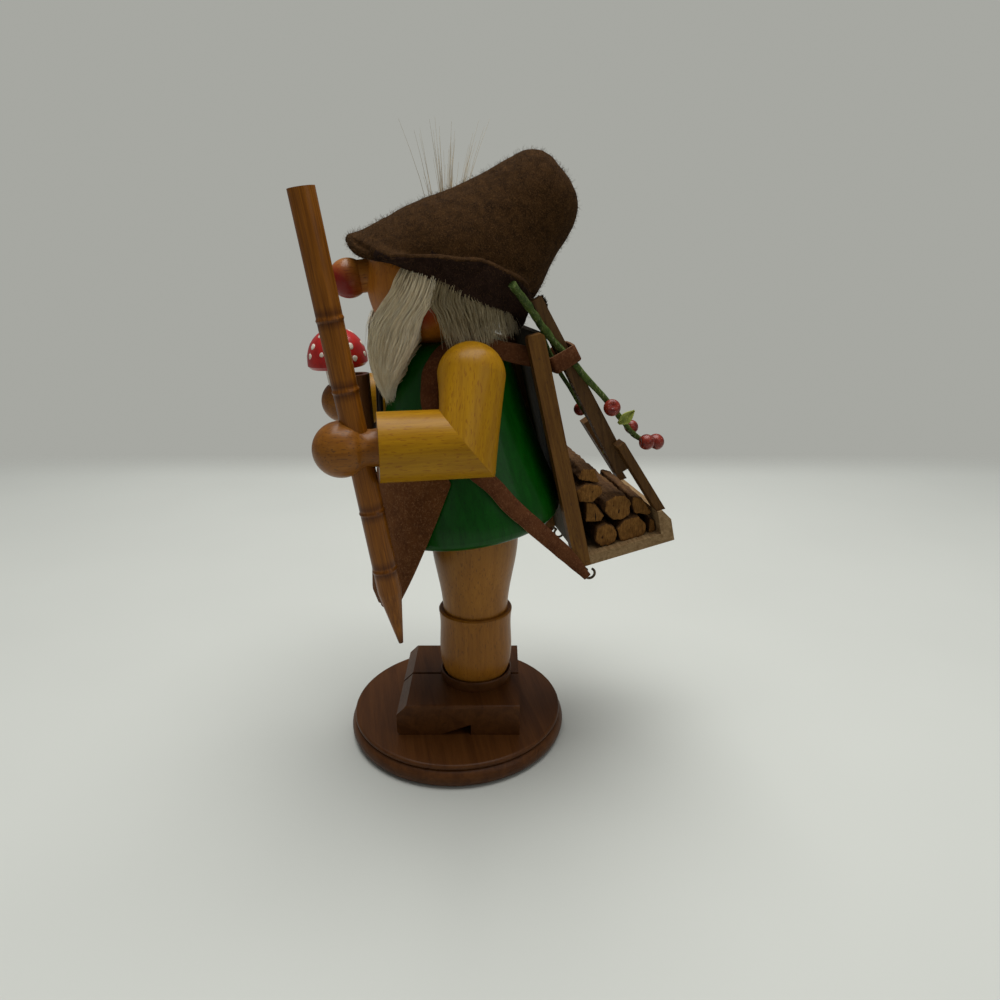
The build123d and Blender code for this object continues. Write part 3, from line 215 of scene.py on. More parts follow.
@dataclass(frozen=True)
class CarrierFrame:
    """The back carrier's leaning frame, in millimetres: outwards along its shelf and up along its posts."""

    lean: float = math.radians(13.0)
    back: float = 38.9
    up: float = 80.0
    half_width: float = 25.0
    depth: float = 36.0
    height: float = 89.0

    @property
    def out_dir(self) -> Vector:
        """The direction outwards along the shelf."""
        return towards(0, math.cos(self.lean), math.sin(self.lean))

    @property
    def up_dir(self) -> Vector:
        """The direction up along the posts."""
        return towards(0, -math.sin(self.lean), math.cos(self.lean))

    def point(self, side: float, out: float, up: float) -> Vector:
        """Gives a place from its distances in millimetres to the side, outwards and up."""
        return at(0, self.back, self.up) + (SIDE * side + self.out_dir * out + self.up_dir * up) * MM

    def share(self, side: float, out: float, up: float) -> Vector:
        """Gives a place from its shares of the half width, the shelf's depth and the posts' height."""
        return self.point(side * self.half_width, out * self.depth, up * self.height)


COAT = CoatFrame()
CARRIER = CarrierFrame()


class Shader:
    """One material's nodes, with short calls for those that the finishes share."""

    def __init__(self, name: str) -> None:
        """Makes an empty material with its surface shader.

        Args:
            name: The material's name.
        """
        self.material = bpy.data.materials.new(name)
        self.material.use_nodes = True
        self.tree = self.material.node_tree
        self.surface = self.tree.nodes["Principled BSDF"]
        self.coordinates = self.tree.nodes.new("ShaderNodeTexCoord")

    def set(self, **sockets: float | tuple) -> None:
        """Sets plain values on the surface shader's own sockets, by their names with _ for a space."""
        for name, value in sockets.items():
            self.surface.inputs[name.replace("_", " ")].default_value = value

    def put(self, name: str, source: Socket) -> None:
        """Leads a source into one of the surface shader's sockets."""
        self.tree.links.new(source, self.surface.inputs[name])

    def place(self, size: Place | float, turn: Place = (0, 0, 0), centre: Vector = Vector()) -> Socket:
        """Gives pattern coordinates on the object.

        Args:
            size: Length of one unit of the pattern, in millimetres, or its lengths along the pattern's axes.
            turn: The pattern's turn, in radians.
            centre: The pattern's middle, in metres.

        Returns:
            The vector socket.
        """
        lengths = (size, size, size) if isinstance(size, float) else size
        mapping = self.tree.nodes.new("ShaderNodeMapping")
        mapping.vector_type = "TEXTURE"
        mapping.inputs["Location"].default_value = centre
        mapping.inputs["Rotation"].default_value = turn
        mapping.inputs["Scale"].default_value = [length * MM for length in lengths]
        self.tree.links.new(self.coordinates.outputs["Object"], mapping.inputs["Vector"])
        return mapping.outputs["Vector"]

    def noise(self, vector: Socket, detail: float, roughness: float, twist: float = 0.0) -> Socket:
        """Gives a cloudy pattern at one unit of its coordinates.

        Args:
            vector: The coordinates.
            detail: How many finer layers it has.
            roughness: How strong they are.
            twist: How far it is distorted.

        Returns:
            The value's socket.
        """
        node = self.tree.nodes.new("ShaderNodeTexNoise")
        node.inputs["Scale"].default_value = 1.0
        node.inputs["Detail"].default_value = detail
        node.inputs["Roughness"].default_value = roughness
        node.inputs["Distortion"].default_value = twist
        self.tree.links.new(vector, node.inputs["Vector"])
        return node.outputs["Fac"]

    def cells(self, vector: Socket) -> Socket:
        """Gives the distance from the middles of scattered cells, one per unit of the coordinates."""
        node = self.tree.nodes.new("ShaderNodeTexVoronoi")
        node.inputs["Scale"].default_value = 1.0
        self.tree.links.new(vector, node.inputs["Vector"])
        return node.outputs["Distance"]

    def ball(self, centre: Vector, radius: float) -> Socket:
        """Gives 1 at a place, in metres, falling to 0 at a radius, in millimetres."""
        node = self.tree.nodes.new("ShaderNodeTexGradient")
        node.gradient_type = "SPHERICAL"
        self.tree.links.new(self.place(radius, centre=centre), node.inputs["Vector"])
        return node.outputs["Fac"]

    def ramp(self, factor: Socket, *stops: tuple[float, Colour]) -> Socket:
        """Turns a value into a colour by stops of a place and a colour.

        Args:
            factor: The value.
            *stops: Places from 0 to 1, each with its colour.

        Returns:
            The colour's socket.
        """
        node = self.tree.nodes.new("ShaderNodeValToRGB")
        elements = node.color_ramp.elements
        while len(elements) < len(stops):
            elements.new(1.0)
        for element, (place, colour) in zip(elements, stops):
            element.position = place
            element.color = (*colour, 1)
        self.tree.links.new(factor, node.inputs["Fac"])
        return node.outputs["Color"]

    def levels(self, factor: Socket, low: float, high: float) -> Socket:
        """Stretches a value so that low becomes 0 and high becomes 1."""
        return self.ramp(factor, (low, BLACK), (high, WHITE))

    def blend(self, factor: Socket | float, first: Socket, second: Socket | Colour,
              mode: str = "MIX") -> Socket:
        """Mixes two colours.

        Args:
            factor: How much of the second there is.
            first: The colour below.
            second: The colour above, or its socket.
            mode: How they are mixed.

        Returns:
            The colour's socket.
        """
        node = self.tree.nodes.new("ShaderNodeMix")
        node.data_type = "RGBA"
        node.blend_type = mode
        amount, below, above = (next(s for s in node.inputs if s.identifier == key)
                                for key in ("Factor_Float", "A_Color", "B_Color"))
        if isinstance(factor, float):
            amount.default_value = factor
        else:
            self.tree.links.new(factor, amount)
        self.tree.links.new(first, below)
        if isinstance(second, tuple):
            above.default_value = (*second, 1)
        else:
            self.tree.links.new(second, above)
        return next(s for s in node.outputs if s.identifier == "Result_Color")

    def darken(self, colour: Socket, factor: Socket, tint: Colour, low: float, high: float,
               amount: float) -> Socket:
        """Darkens a colour where a value is low.

        Args:
            colour: The colour.
            factor: The value.
            tint: What the colour is multiplied by where the value is low.
            low: The value up to which the tint is full.
            high: The value from which there is none.
            amount: How much of the tint is used, from 0 to 1.

        Returns:
            The colour's socket.
        """
        return self.blend(amount, colour, self.ramp(factor, (low, tint), (high, WHITE)), "MULTIPLY")

    def part(self, vector: Socket, axis: str) -> Socket:
        """Gives a vector's part along its X, Y or Z axis."""
        node = self.tree.nodes.new("ShaderNodeSeparateXYZ")
        self.tree.links.new(vector, node.inputs["Vector"])
        return node.outputs[axis]

    def span(self, factor: Socket, low: float, high: float) -> Socket:
        """Gives a number between low and high as a value goes from 0 to 1."""
        node = self.tree.nodes.new("ShaderNodeMapRange")
        node.inputs["To Min"].default_value = low
        node.inputs["To Max"].default_value = high
        self.tree.links.new(factor, node.inputs["Value"])
        return node.outputs["Result"]

    def attribute(self, name: str) -> Socket:
        """Gives the value that a mesh keeps under a name."""
        node = self.tree.nodes.new("ShaderNodeAttribute")
        node.attribute_name = name
        return node.outputs["Fac"]

    def bump(self, height: Socket, depth: float, strength: float = 0.6) -> None:
        """Gives the surface a relief, with its depth in millimetres."""
        node = self.tree.nodes.new("ShaderNodeBump")
        node.inputs["Strength"].default_value = strength
        node.inputs["Distance"].default_value = depth * MM
        self.tree.links.new(height, node.inputs["Height"])
        self.put("Normal", node.outputs["Normal"])


class Finish(Protocol):
    """Anything that can make a material."""

    def make(self, name: str) -> bpy.types.Material:
        """Makes the material under a name."""


@dataclass(frozen=True)
class Spot:
    """A round spot of colour that fades out: its place on the upper figure and its radius, in millimetres."""

    colour: Colour
    place: Place
    radius: float


@dataclass(frozen=True)
class WoodFinish:
    """Wood with grain, short flecks and pores, raw or under a gloss coat."""

    light: Colour
    dark: Colour
    grain: Grain = Grain.UPRIGHT
    band: float = 2.4
    fleck: float = 0.5
    fleck_colour: Colour = (0.06, 0.025, 0.01)
    roughness: float = 0.45
    gloss: float = 0.0
    gloss_roughness: float = 0.12
    pore_depth: float = 0.06
    spot: Spot | None = None
    streak_size: Place = (0.35, 0.35, 9.0)
    fleck_size: Place = (0.32, 0.5, 2.2)
    streak_tint: Colour = (0.62, 0.62, 0.62)

    def make(self, name: str) -> bpy.types.Material:
        """Makes the material under a name."""
        shader = Shader(name)
        turn = self.grain.turned()
        bands = shader.noise(shader.place((self.band, self.band, self.band * 16), turn), 3, 0.6, 0.8)
        streaks = shader.noise(shader.place(self.streak_size, turn), 2, 0.6)
        flecks = shader.noise(shader.place(self.fleck_size, turn), 0, 0.3)
        colour = shader.ramp(bands, (0.3, self.dark), (0.68, self.light))
        colour = shader.darken(colour, streaks, self.streak_tint, 0.3, 0.65, 0.35)
        marks = shader.ramp(flecks, (0.66, BLACK), (0.74, (self.fleck, self.fleck, self.fleck)))
        colour = shader.blend(marks, colour, self.fleck_colour)
        if self.spot is not None:
            ball = shader.ball(at(*self.spot.place), self.spot.radius)
            colour = shader.blend(shader.levels(ball, 0.05, 0.5), colour, self.spot.colour)
        shader.put("Base Color", colour)
        shader.put("Roughness", shader.span(streaks, self.roughness + 0.12, self.roughness - 0.06))
        shader.set(Coat_Weight=self.gloss, Coat_Roughness=self.gloss_roughness, Specular_IOR_Level=0.15)
        shader.bump(streaks, self.pore_depth)
        return shader.material


@dataclass(frozen=True)
class PaintFinish:
    """Opaque gloss paint with a faint unevenness and dust."""

    colour: Colour
    shade: Colour
    roughness: float = 0.22
    gloss: float = 0.25

    def make(self, name: str) -> bpy.types.Material:
        """Makes the material under a name."""
        shader = Shader(name)
        clouds = shader.noise(shader.place(4.0), 4, 0.6)
        dust = shader.noise(shader.place(0.5), 3, 0.7)
        shader.put("Base Color", shader.ramp(clouds, (0.3, self.shade), (0.6, self.colour)))
        shader.put("Roughness", shader.span(dust, self.roughness, self.roughness + 0.16))
        shader.set(Coat_Weight=self.gloss, Coat_Roughness=0.08, Specular_IOR_Level=0.2)
        shader.bump(dust, 0.02)
        return shader.material


@dataclass(frozen=True)
class FeltFinish:
    """Matted wool: heathered colour and a fibrous relief, without gloss."""

    colour: Colour = (0.04, 0.018, 0.005)
    shade: Colour = (0.016, 0.007, 0.002)
    fibre: Colour = (0.125, 0.062, 0.022)

    def make(self, name: str) -> bpy.types.Material:
        """Makes the material under a name."""
        shader = Shader(name)
        mottle = shader.noise(shader.place(3.5), 4, 0.65, 0.6)
        wool = shader.noise(shader.place(0.9), 4, 0.8, 2.2)
        thread = shader.noise(shader.place((0.3, 0.3, 2.6), (0.9, 0.4, 0.2)), 2, 0.6, 1.6)
        colour = shader.ramp(mottle, (0.34, self.shade), (0.66, self.colour))
        colour = shader.blend(shader.levels(wool, 0.5, 0.74), colour, self.fibre)
        colour = shader.blend(shader.levels(thread, 0.64, 0.74), colour, self.fibre)
        shader.put("Base Color", colour)
        shader.set(Roughness=0.95, Specular_IOR_Level=0.05)
        shader.bump(wool, 0.35, 0.9)
        return shader.material


@dataclass(frozen=True)
class SuedeFinish:
    """Split leather with a nap, worn lighter in places."""

    colour: Colour
    shade: Colour
    worn: Colour
    nap: float = 0.2

    def make(self, name: str) -> bpy.types.Material:
        """Makes the material under a name."""
        shader = Shader(name)
        clouds = shader.noise(shader.place(6.0), 5, 0.65, 0.4)
        grain = shader.noise(shader.place(0.75), 4, 0.75, 0.8)
        pores = shader.cells(shader.place(0.8))
        colour = shader.ramp(clouds, (0.32, self.shade), (0.62, self.colour))
        colour = shader.blend(shader.levels(grain, 0.5, 0.68), colour, self.worn)
        colour = shader.darken(colour, pores, (0.45, 0.45, 0.45), 0.0, 0.35, 0.4)
        shader.put("Base Color", colour)
        shader.put("Roughness", shader.span(grain, 0.72, 0.95))
        shader.set(Specular_IOR_Level=0.08)
        shader.bump(grain, self.nap, 0.8)
        return shader.material


@dataclass(frozen=True)
class FurFinish:
    """Hair with painted shade at its roots, where they crowd together, and a tone that varies from strand to
    strand.
    """

    # The root colour is painted shade among the crowded roots
    root: Colour = (0.15, 0.1, 0.042)
    middle: Colour = (0.34, 0.27, 0.145)
    tip: Colour = (0.52, 0.44, 0.28)
    locks: float = 0.6

    def make(self, name: str) -> bpy.types.Material:
        """Makes the material under a name."""
        shader = Shader(name)
        locks = shader.noise(shader.place((1.6, 1.6, 6.0), Grain.COAT.turned()), 3, 0.6)
        along = shader.attribute("along")
        # Painted shade: the colour darkens from the middle towards the roots
        colour = shader.ramp(along, (0.0, self.root), (0.3, self.middle), (0.85, self.tip))
        colour = shader.darken(colour, locks, (0.55, 0.5, 0.42), 0.3, 0.6, self.locks)
        colour = shader.darken(colour, shader.attribute("tone"), (0.6, 0.55, 0.48), 0.0, 0.6, self.locks)
        shader.put("Base Color", colour)
        shader.put("Roughness", shader.span(locks, 0.5, 0.7))
        shader.set(Specular_IOR_Level=0.2)
        shader.bump(locks, 0.25)
        return shader.material


@dataclass(frozen=True)
class MetalFinish:
    """Aged metal with spots of tarnish."""

    colour: Colour
    tarnish: Colour
    roughness: float = 0.32

    def make(self, name: str) -> bpy.types.Material:
        """Makes the material under a name."""
        shader = Shader(name)
        spots = shader.noise(shader.place(0.8), 4, 0.7)
        shader.put("Base Color", shader.ramp(spots, (0.42, self.tarnish), (0.62, self.colour)))
        shader.put("Roughness", shader.span(spots, self.roughness + 0.25, self.roughness))
        shader.set(Metallic=1.0)
        shader.bump(spots, 0.03)
        return shader.material


@dataclass(frozen=True)
class EndGrainFinish:
    """Sawn or split log ends: fibres, pith flecks and fine cracks."""

    colour: Colour = (0.27, 0.128, 0.032)
    shade: Colour = (0.11, 0.045, 0.011)
    crack: Colour = (0.02, 0.01, 0.005)

    def make(self, name: str) -> bpy.types.Material:
        """Makes the material under a name."""
        shader = Shader(name)
        turn = Grain.ACROSS.turned()
        fibres = shader.noise(shader.place((0.3, 2.6, 2.0), turn), 4, 0.7, 0.7)
        patches = shader.noise(shader.place((3.0, 3.0, 6.0), turn), 3, 0.6, 0.8)
        cracks = shader.cells(shader.place((0.9, 3.2, 9.0), turn))
        colour = shader.ramp(fibres, (0.32, self.shade), (0.62, self.colour))
        colour = shader.darken(colour, patches, (0.5, 0.5, 0.5), 0.3, 0.62, 0.5)
        colour = shader.blend(shader.levels(cracks, 0.8, 0.95), colour, self.crack)
        shader.put("Base Color", colour)
        shader.put("Roughness", shader.span(fibres, 0.75, 0.95))
        shader.set(Specular_IOR_Level=0.08)
        shader.bump(fibres, 0.3, 0.9)
        return shader.material


@dataclass(frozen=True)
class BerryFinish:
    """Glossy fruit skin, blotched with a deeper red, with small pale specks."""

    skin: Colour = (0.22, 0.024, 0.011)
    deep: Colour = (0.1, 0.009, 0.005)
    speck: Colour = (0.45, 0.27, 0.2)

    def make(self, name: str) -> bpy.types.Material:
        """Makes the material under a name."""
        shader = Shader(name)
        blotch = shader.noise(shader.place(2.2), 3, 0.6, 0.5)
        specks = shader.cells(shader.place(0.8))
        colour = shader.ramp(blotch, (0.35, self.deep), (0.58, self.skin))
        marks = shader.ramp(specks, (0.1, (0.8, 0.8, 0.8)), (0.22, BLACK))
        colour = shader.blend(marks, colour, self.speck)
        shader.put("Base Color", colour)
        shader.put("Roughness", shader.span(blotch, 0.5, 0.28))
        shader.set(Coat_Weight=0.25, Coat_Roughness=0.12, Specular_IOR_Level=0.2)
        shader.bump(specks, 0.06)
        return shader.material


@dataclass(frozen=True)
class PlantFinish:
    """Stems and leaves: mossy colour, pale streaks along the grain as painted highlights, and a fibrous skin.
    """

    colour: Colour
    shade: Colour
    pale: Colour
    grain: Grain = Grain.UPRIGHT

    def make(self, name: str) -> bpy.types.Material:
        """Makes the material under a name."""
        shader = Shader(name)
        streaks = shader.noise(shader.place((0.4, 0.4, 2.4), self.grain.turned()), 4, 0.7, 0.8)
        clouds = shader.noise(shader.place(2.5), 3, 0.6)
        colour = shader.ramp(clouds, (0.35, self.shade), (0.6, self.colour))
        # Painted highlight: pale streaks over the mossy colour
        colour = shader.blend(shader.levels(streaks, 0.56, 0.7), colour, self.pale)
        shader.put("Base Color", colour)
        shader.put("Roughness", shader.span(streaks, 0.45, 0.7))
        shader.set(Specular_IOR_Level=0.15)
        shader.bump(streaks, 0.12)
        return shader.material


@dataclass(frozen=True)
class StageFinish:
    """Plain floor that fades into the backdrop at its far edge."""

    colour: Colour = (0.56, 0.575, 0.53)
    edge: float = -0.415
    fade: float = 0.1

    def make(self, name: str) -> bpy.types.Material:
        """Makes the material under a name."""
        shader = Shader(name)
        faint = shader.noise(shader.place(120.0), 2, 0.5)
        darker = tuple(0.97 * part for part in self.colour)
        shader.put("Base Color", shader.ramp(faint, (0.3, darker), (0.7, self.colour)))
        shader.set(Roughness=0.62, Specular_IOR_Level=0.25)
        alpha = shader.tree.nodes.new("ShaderNodeMapRange")
        alpha.interpolation_type = "SMOOTHSTEP"
        alpha.inputs["From Min"].default_value = self.edge - self.fade / 2
        alpha.inputs["From Max"].default_value = self.edge + self.fade / 2
        far = shader.part(shader.coordinates.outputs["Object"], "X")
        shader.tree.links.new(far, alpha.inputs["Value"])
        shader.put("Alpha", alpha.outputs["Result"])
        return shader.material


class Workshop:
    """Steps that all pieces share: copying nodes, shaping with modifiers, and finishing."""

    @staticmethod
    def link(name: str, mesh: bpy.types.Mesh) -> Object:
        """Makes a mesh an object of the scene under a name."""
        piece = bpy.data.objects.new(name, mesh)
        bpy.context.scene.collection.objects.link(piece)
        return piece

    @staticmethod
    def select_only(piece: Object) -> None:
        """Selects one object and nothing else, in object mode."""
        if bpy.context.mode != "OBJECT":
            bpy.ops.object.mode_set(mode="OBJECT")
        bpy.ops.object.select_all(action="DESELECT")
        piece.select_set(True)
        bpy.context.view_layer.objects.active = piece

    @classmethod
    def copy_node(cls, node: str, name: str) -> Object:
        """Copies a CAD node's mesh into a new object and closes its loose triangles up.

        Args:
            node: The node to copy.
            name: The new object's name.

        Returns:
            The copy, as one closed surface.
        """
        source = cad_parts[node]
        mesh = source.data.copy()
        mesh.transform(source.matrix_world)
        piece = cls.link(name, mesh)
        mesh.materials.clear()
        cls.select_only(piece)
        if mesh.has_custom_normals:
            bpy.ops.mesh.customdata_custom_splitnormals_clear()
        cls.face_out(piece, 0.005)
        return piece

    @classmethod
    def face_out(cls, piece: Object, merge: float = 0.0) -> None:
        """Turns all of a piece's faces outwards.

        Args:
            piece: The object.
            merge: Corners nearer than this, in millimetres, are joined first.
        """
        cls.select_only(piece)
        bpy.ops.object.mode_set(mode="EDIT")
        bpy.ops.mesh.select_all(action="SELECT")
        if merge:
            bpy.ops.mesh.remove_doubles(threshold=merge * MM)
        bpy.ops.mesh.normals_make_consistent(inside=False)
        bpy.ops.object.mode_set(mode="OBJECT")

    @classmethod
    def shape(cls, piece: Object, kind: str, **settings: object) -> None:
        """Adds a modifier with its settings and applies it.

        Args:
            piece: The object to shape.
            kind: The modifier's type.
            **settings: The modifier's settings by name.
        """
        cls.select_only(piece)
        modifier = piece.modifiers.new(kind.lower(), kind)
        for name, value in settings.items():
            setattr(modifier, name, value)
        bpy.ops.object.modifier_apply(modifier=modifier.name)

    @classmethod
    def soften(cls, piece: Object, voxel: float, rounds: int) -> None:
        """Gives a piece an even skin and rounds its edges.

        Args:
            piece: The object to shape.
            voxel: Size of the skin's faces, in millimetres.
            rounds: How many times it is smoothed.
        """
        cls.shape(piece, "REMESH", mode="VOXEL", voxel_size=voxel * MM)
        cls.shape(piece, "SMOOTH", factor=0.5, iterations=rounds)

    @classmethod
    def roughen(cls, piece: Object, size: float, depth: float) -> None:
        """Makes a piece's surface uneven.

        Args:
            piece: The object to shape.
            size: Width of the bumps, in millimetres.
            depth: Their height, in millimetres.
        """
        texture = bpy.data.textures.new(f"{piece.name}_relief", "CLOUDS")
        texture.noise_scale = size * MM
        texture.noise_depth = 2
        cls.shape(piece, "DISPLACE", texture=texture, texture_coords="LOCAL", strength=depth * MM,
                  mid_level=0.5)

    @classmethod
    def from_faces(cls, name: str, points: list[Vector], faces: list[tuple[int, ...]]) -> Object:
        """Makes an object of points and faces.

        Args:
            name: Its name.
            points: Its corners, in metres.
            faces: Its faces, as places in the list of corners.

        Returns:
            The object, linked to the scene.
        """
        mesh = bpy.data.meshes.new(name)
        mesh.from_pydata([tuple(point) for point in points], [], faces)
        mesh.update()
        return cls.link(name, mesh)

    @classmethod
    def finish(cls, piece: Object, slot: str, materials: list[bpy.types.Material],
               nodes: tuple[str, ...] = (), angle: float = 40.0) -> None:
        """Smooths and dresses a piece, which rides on the upper figure as all new pieces do.

        Args:
            piece: The finished shape.
            slot: The record's material slot; not used.
            materials: Its materials in order.
            nodes: The CAD nodes that it stands for.
            angle: Edges sharper than this, in degrees, stay sharp.
        """
        cls.select_only(piece)
        bpy.ops.object.shade_smooth_by_angle(angle=math.radians(angle))
        for material in materials:
            piece.data.materials.append(material)
        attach(piece, "figure")
        if nodes:
            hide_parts(*nodes)
        LOG.info("%s: %d faces for %s", piece.name, len(piece.data.polygons), ", ".join(nodes) or "detail")

    @staticmethod
    def dress(finish: Finish, name: str, *nodes: str) -> bpy.types.Material:
        """Makes a finish's material and gives it to CAD nodes that stay.

        Args:
            finish: The finish.
            name: The material's name.
            *nodes: The nodes.

        Returns:
            The material.
        """
        material = finish.make(name)
        for node in nodes:
            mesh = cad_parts[node].data
            mesh.materials.clear()
            mesh.materials.append(material)
        LOG.info("%s on %s", name, ", ".join(nodes))
        return material


class Strands:
    """Fine tapered hairs, gathered into one mesh with a shade value along each and a tone for each."""

    sides = 3
    taper = 1.4

    def __init__(self, seed: int) -> None:
        """Starts an empty bundle.

        Args:
            seed: Start of its chance values.
        """
        self.chance = random.Random(seed)
        self.points: list[Vector] = []
        self.faces: list[tuple[int, ...]] = []
        self.along: list[float] = []
        self.tone: list[float] = []

    def add(self, line: list[Vector], root: float, tip: float) -> None:
        """Adds one hair.

        Args:
            line: Its places from root to tip, in metres.
            root: Its radius at the root, in millimetres.
            tip: Its radius at the tip.
        """
        tone = self.chance.random()
        first = len(self.points)
        last = len(line) - 1
        for step, place in enumerate(line):
            ahead = (line[min(step + 1, last)] - line[max(step - 1, 0)]).normalized()
            across = ahead.orthogonal().normalized()
            over = ahead.cross(across)
            radius = (root + (tip - root) * (step / last) ** self.taper) * MM
            for corner in range(self.sides):
                angle = math.tau * corner / self.sides
                out = across * (math.cos(angle) * radius)
                self.points.append(place + out + over * (math.sin(angle) * radius))
                self.along.append(step / last)
                self.tone.append(tone)
        for step in range(last):
            low = first + self.sides * step
            high = low + self.sides
            for corner in range(self.sides):
                after = (corner + 1) % self.sides
                self.faces.append((low + corner, low + after, high + after, high + corner))
        end = first + self.sides * last
        self.faces.append(tuple(range(first + self.sides - 1, first - 1, -1)))
        self.faces.append(tuple(range(end, end + self.sides)))

    def build(self, name: str) -> Object:
        """Makes the bundle's object under a name."""
        piece = Workshop.from_faces(name, self.points, self.faces)
        for label, values in (("along", self.along), ("tone", self.tone)):
            layer = piece.data.attributes.new(label, "FLOAT", "POINT")
            layer.data.foreach_set("value", values)
        return piece


class Sweep:
    """Sections carried along a smooth line: leather strips and round stems, a little uneven."""

    strip_sides = 8
    cut_sides = (3, 7)
    strip_waver = 0.25
    stem_sides = 10
    stem_waver = 0.5

    @staticmethod
    def join(name: str, rings: list[list[Vector]], closed: bool = False) -> Object:
        """Joins rings of corners into a skin with closed ends.

        Args:
            name: The object's name.
            rings: The rings, each with as many corners.
            closed: Whether the last ring joins the first.

        Returns:
            The object.
        """
        size = len(rings[0])
        points = [point for ring in rings for point in ring]
        faces = []
        for ring in range(len(rings) if closed else len(rings) - 1):
            low, high = ring * size, (ring + 1) % len(rings) * size
            for corner in range(size):
                after = (corner + 1) % size
                faces.append((low + corner, low + after, high + after, high + corner))
        if not closed:
            faces.append(tuple(range(size - 1, -1, -1)))
            faces.append(tuple(range(len(points) - size, len(points))))
        piece = Workshop.from_faces(name, points, faces)
        Workshop.face_out(piece)
        return piece

    @classmethod
    def strip(cls, name: str, line: list[Vector], normals: list[Vector], widths: list[float], thick: float,
              steps: int = 8, closed: bool = False) -> Object:
        """Makes a leather strip with softened edges, whose cut edges take the second material.

        Args:
            name: The object's name.
            line: The middle line's places, in metres.
            normals: The way its face looks at each.
            widths: Its width at each, in millimetres.
            thick: Its thickness, in millimetres.
            steps: Sections between each two places.
            closed: Whether it is a loop.

        Returns:
            The object.
        """
        places = smooth_line(line, steps, closed)
        faces = smooth_line(normals, steps, closed)
        spans = smooth_line([Vector((width, 0, 0)) for width in widths], steps, closed)
        count = len(places)
        rings = []
        for index, (place, face, span) in enumerate(zip(places, faces, spans)):
            if closed:
                ahead = places[(index + 1) % count] - places[index - 1]
            else:
                ahead = places[min(index + 1, count - 1)] - places[max(index - 1, 0)]
            ahead.normalize()
            across = face.cross(ahead).normalized()
            out = ahead.cross(across).normalized()
            half = (span.x / 2 + cls.strip_waver * noise.noise(place * 160)) * MM
            rise, soft = thick / 2 * MM, thick / 4 * MM
            corners = ((-half, rise - soft), (-half + soft, rise), (half - soft, rise), (half, rise - soft),
                       (half, soft - rise), (half - soft, -rise), (soft - half, -rise), (-half, soft - rise))
            rings.append([place + across * x + out * y for x, y in corners])
        piece = cls.join(name, rings, closed)
        skin = cls.strip_sides * (len(rings) if closed else len(rings) - 1)
        for polygon in piece.data.polygons:
            if polygon.index < skin and polygon.index % cls.strip_sides in cls.cut_sides:
                polygon.material_index = 1
        return piece

    @classmethod
    def stem(cls, name: str, line: list[Vector], radii: list[float], steps: int = 8) -> Object:
        """Makes a round stem that swells and thins a little, as a twig does.

        Args:
            name: The object's name.
            line: The middle line's places, in metres.
            radii: Its radius at each, in millimetres.
            steps: Sections between each two places.

        Returns:
            The object.
        """
        places = smooth_line(line, steps)
        sizes = smooth_line([Vector((radius, 0, 0)) for radius in radii], steps)
        rings = []
        for index, (place, size) in enumerate(zip(places, sizes)):
            ahead = (places[min(index + 1, len(places) - 1)] - places[max(index - 1, 0)]).normalized()
            across = ahead.cross(SIDE).normalized()
            over = ahead.cross(across)
            ring = []
            for corner in range(cls.stem_sides):
                angle = math.tau * corner / cls.stem_sides
                out = across * math.cos(angle) + over * math.sin(angle)
                radius = size.x * (0.95 + cls.stem_waver * noise.noise(place * 330 + out * 0.9)) * MM
                ring.append(place + out * radius)
            rings.append(ring)
        return cls.join(name, rings)


@dataclass(frozen=True)
class BaseAndLegs:
    """Turned disc, shoes and legs: stained below, clear lacquer above. Pairs are light and dark."""

    stain: Pair = ((0.098, 0.034, 0.007), (0.058, 0.018, 0.003))
    beech: Pair = ((0.33, 0.13, 0.014), (0.24, 0.088, 0.008))
    trousers: Pair = ((0.36, 0.148, 0.018), (0.27, 0.105, 0.011))
    brass: Pair = ((0.6, 0.42, 0.17), (0.25, 0.15, 0.06))

    def dress(self) -> None:
        """Gives the lower figure's nodes their finishes."""
        Workshop.dress(
            WoodFinish(*self.stain, Grain.ACROSS, band=3.5, fleck=0.2, roughness=0.42, gloss=0.06,
                       gloss_roughness=0.25),
            "brown_stain", "base_disc", "shoe_block", "boot_ring")
        Workshop.dress(
            WoodFinish(*self.beech, band=2.2, fleck=0.4, roughness=0.38, gloss=0.15, gloss_roughness=0.2),
            "lacquered_beech", "boots", "leg_dowel", "coat_spigot", "left_shoulder_dowel",
            "right_shoulder_dowel")
        Workshop.dress(
            WoodFinish(*self.trousers, band=3.0, fleck=0.4, roughness=0.38, gloss=0.15, gloss_roughness=0.22),
            "trouser_beech", "trousers")
        Workshop.dress(MetalFinish(*self.brass), "tray_brass", "incense_tray")


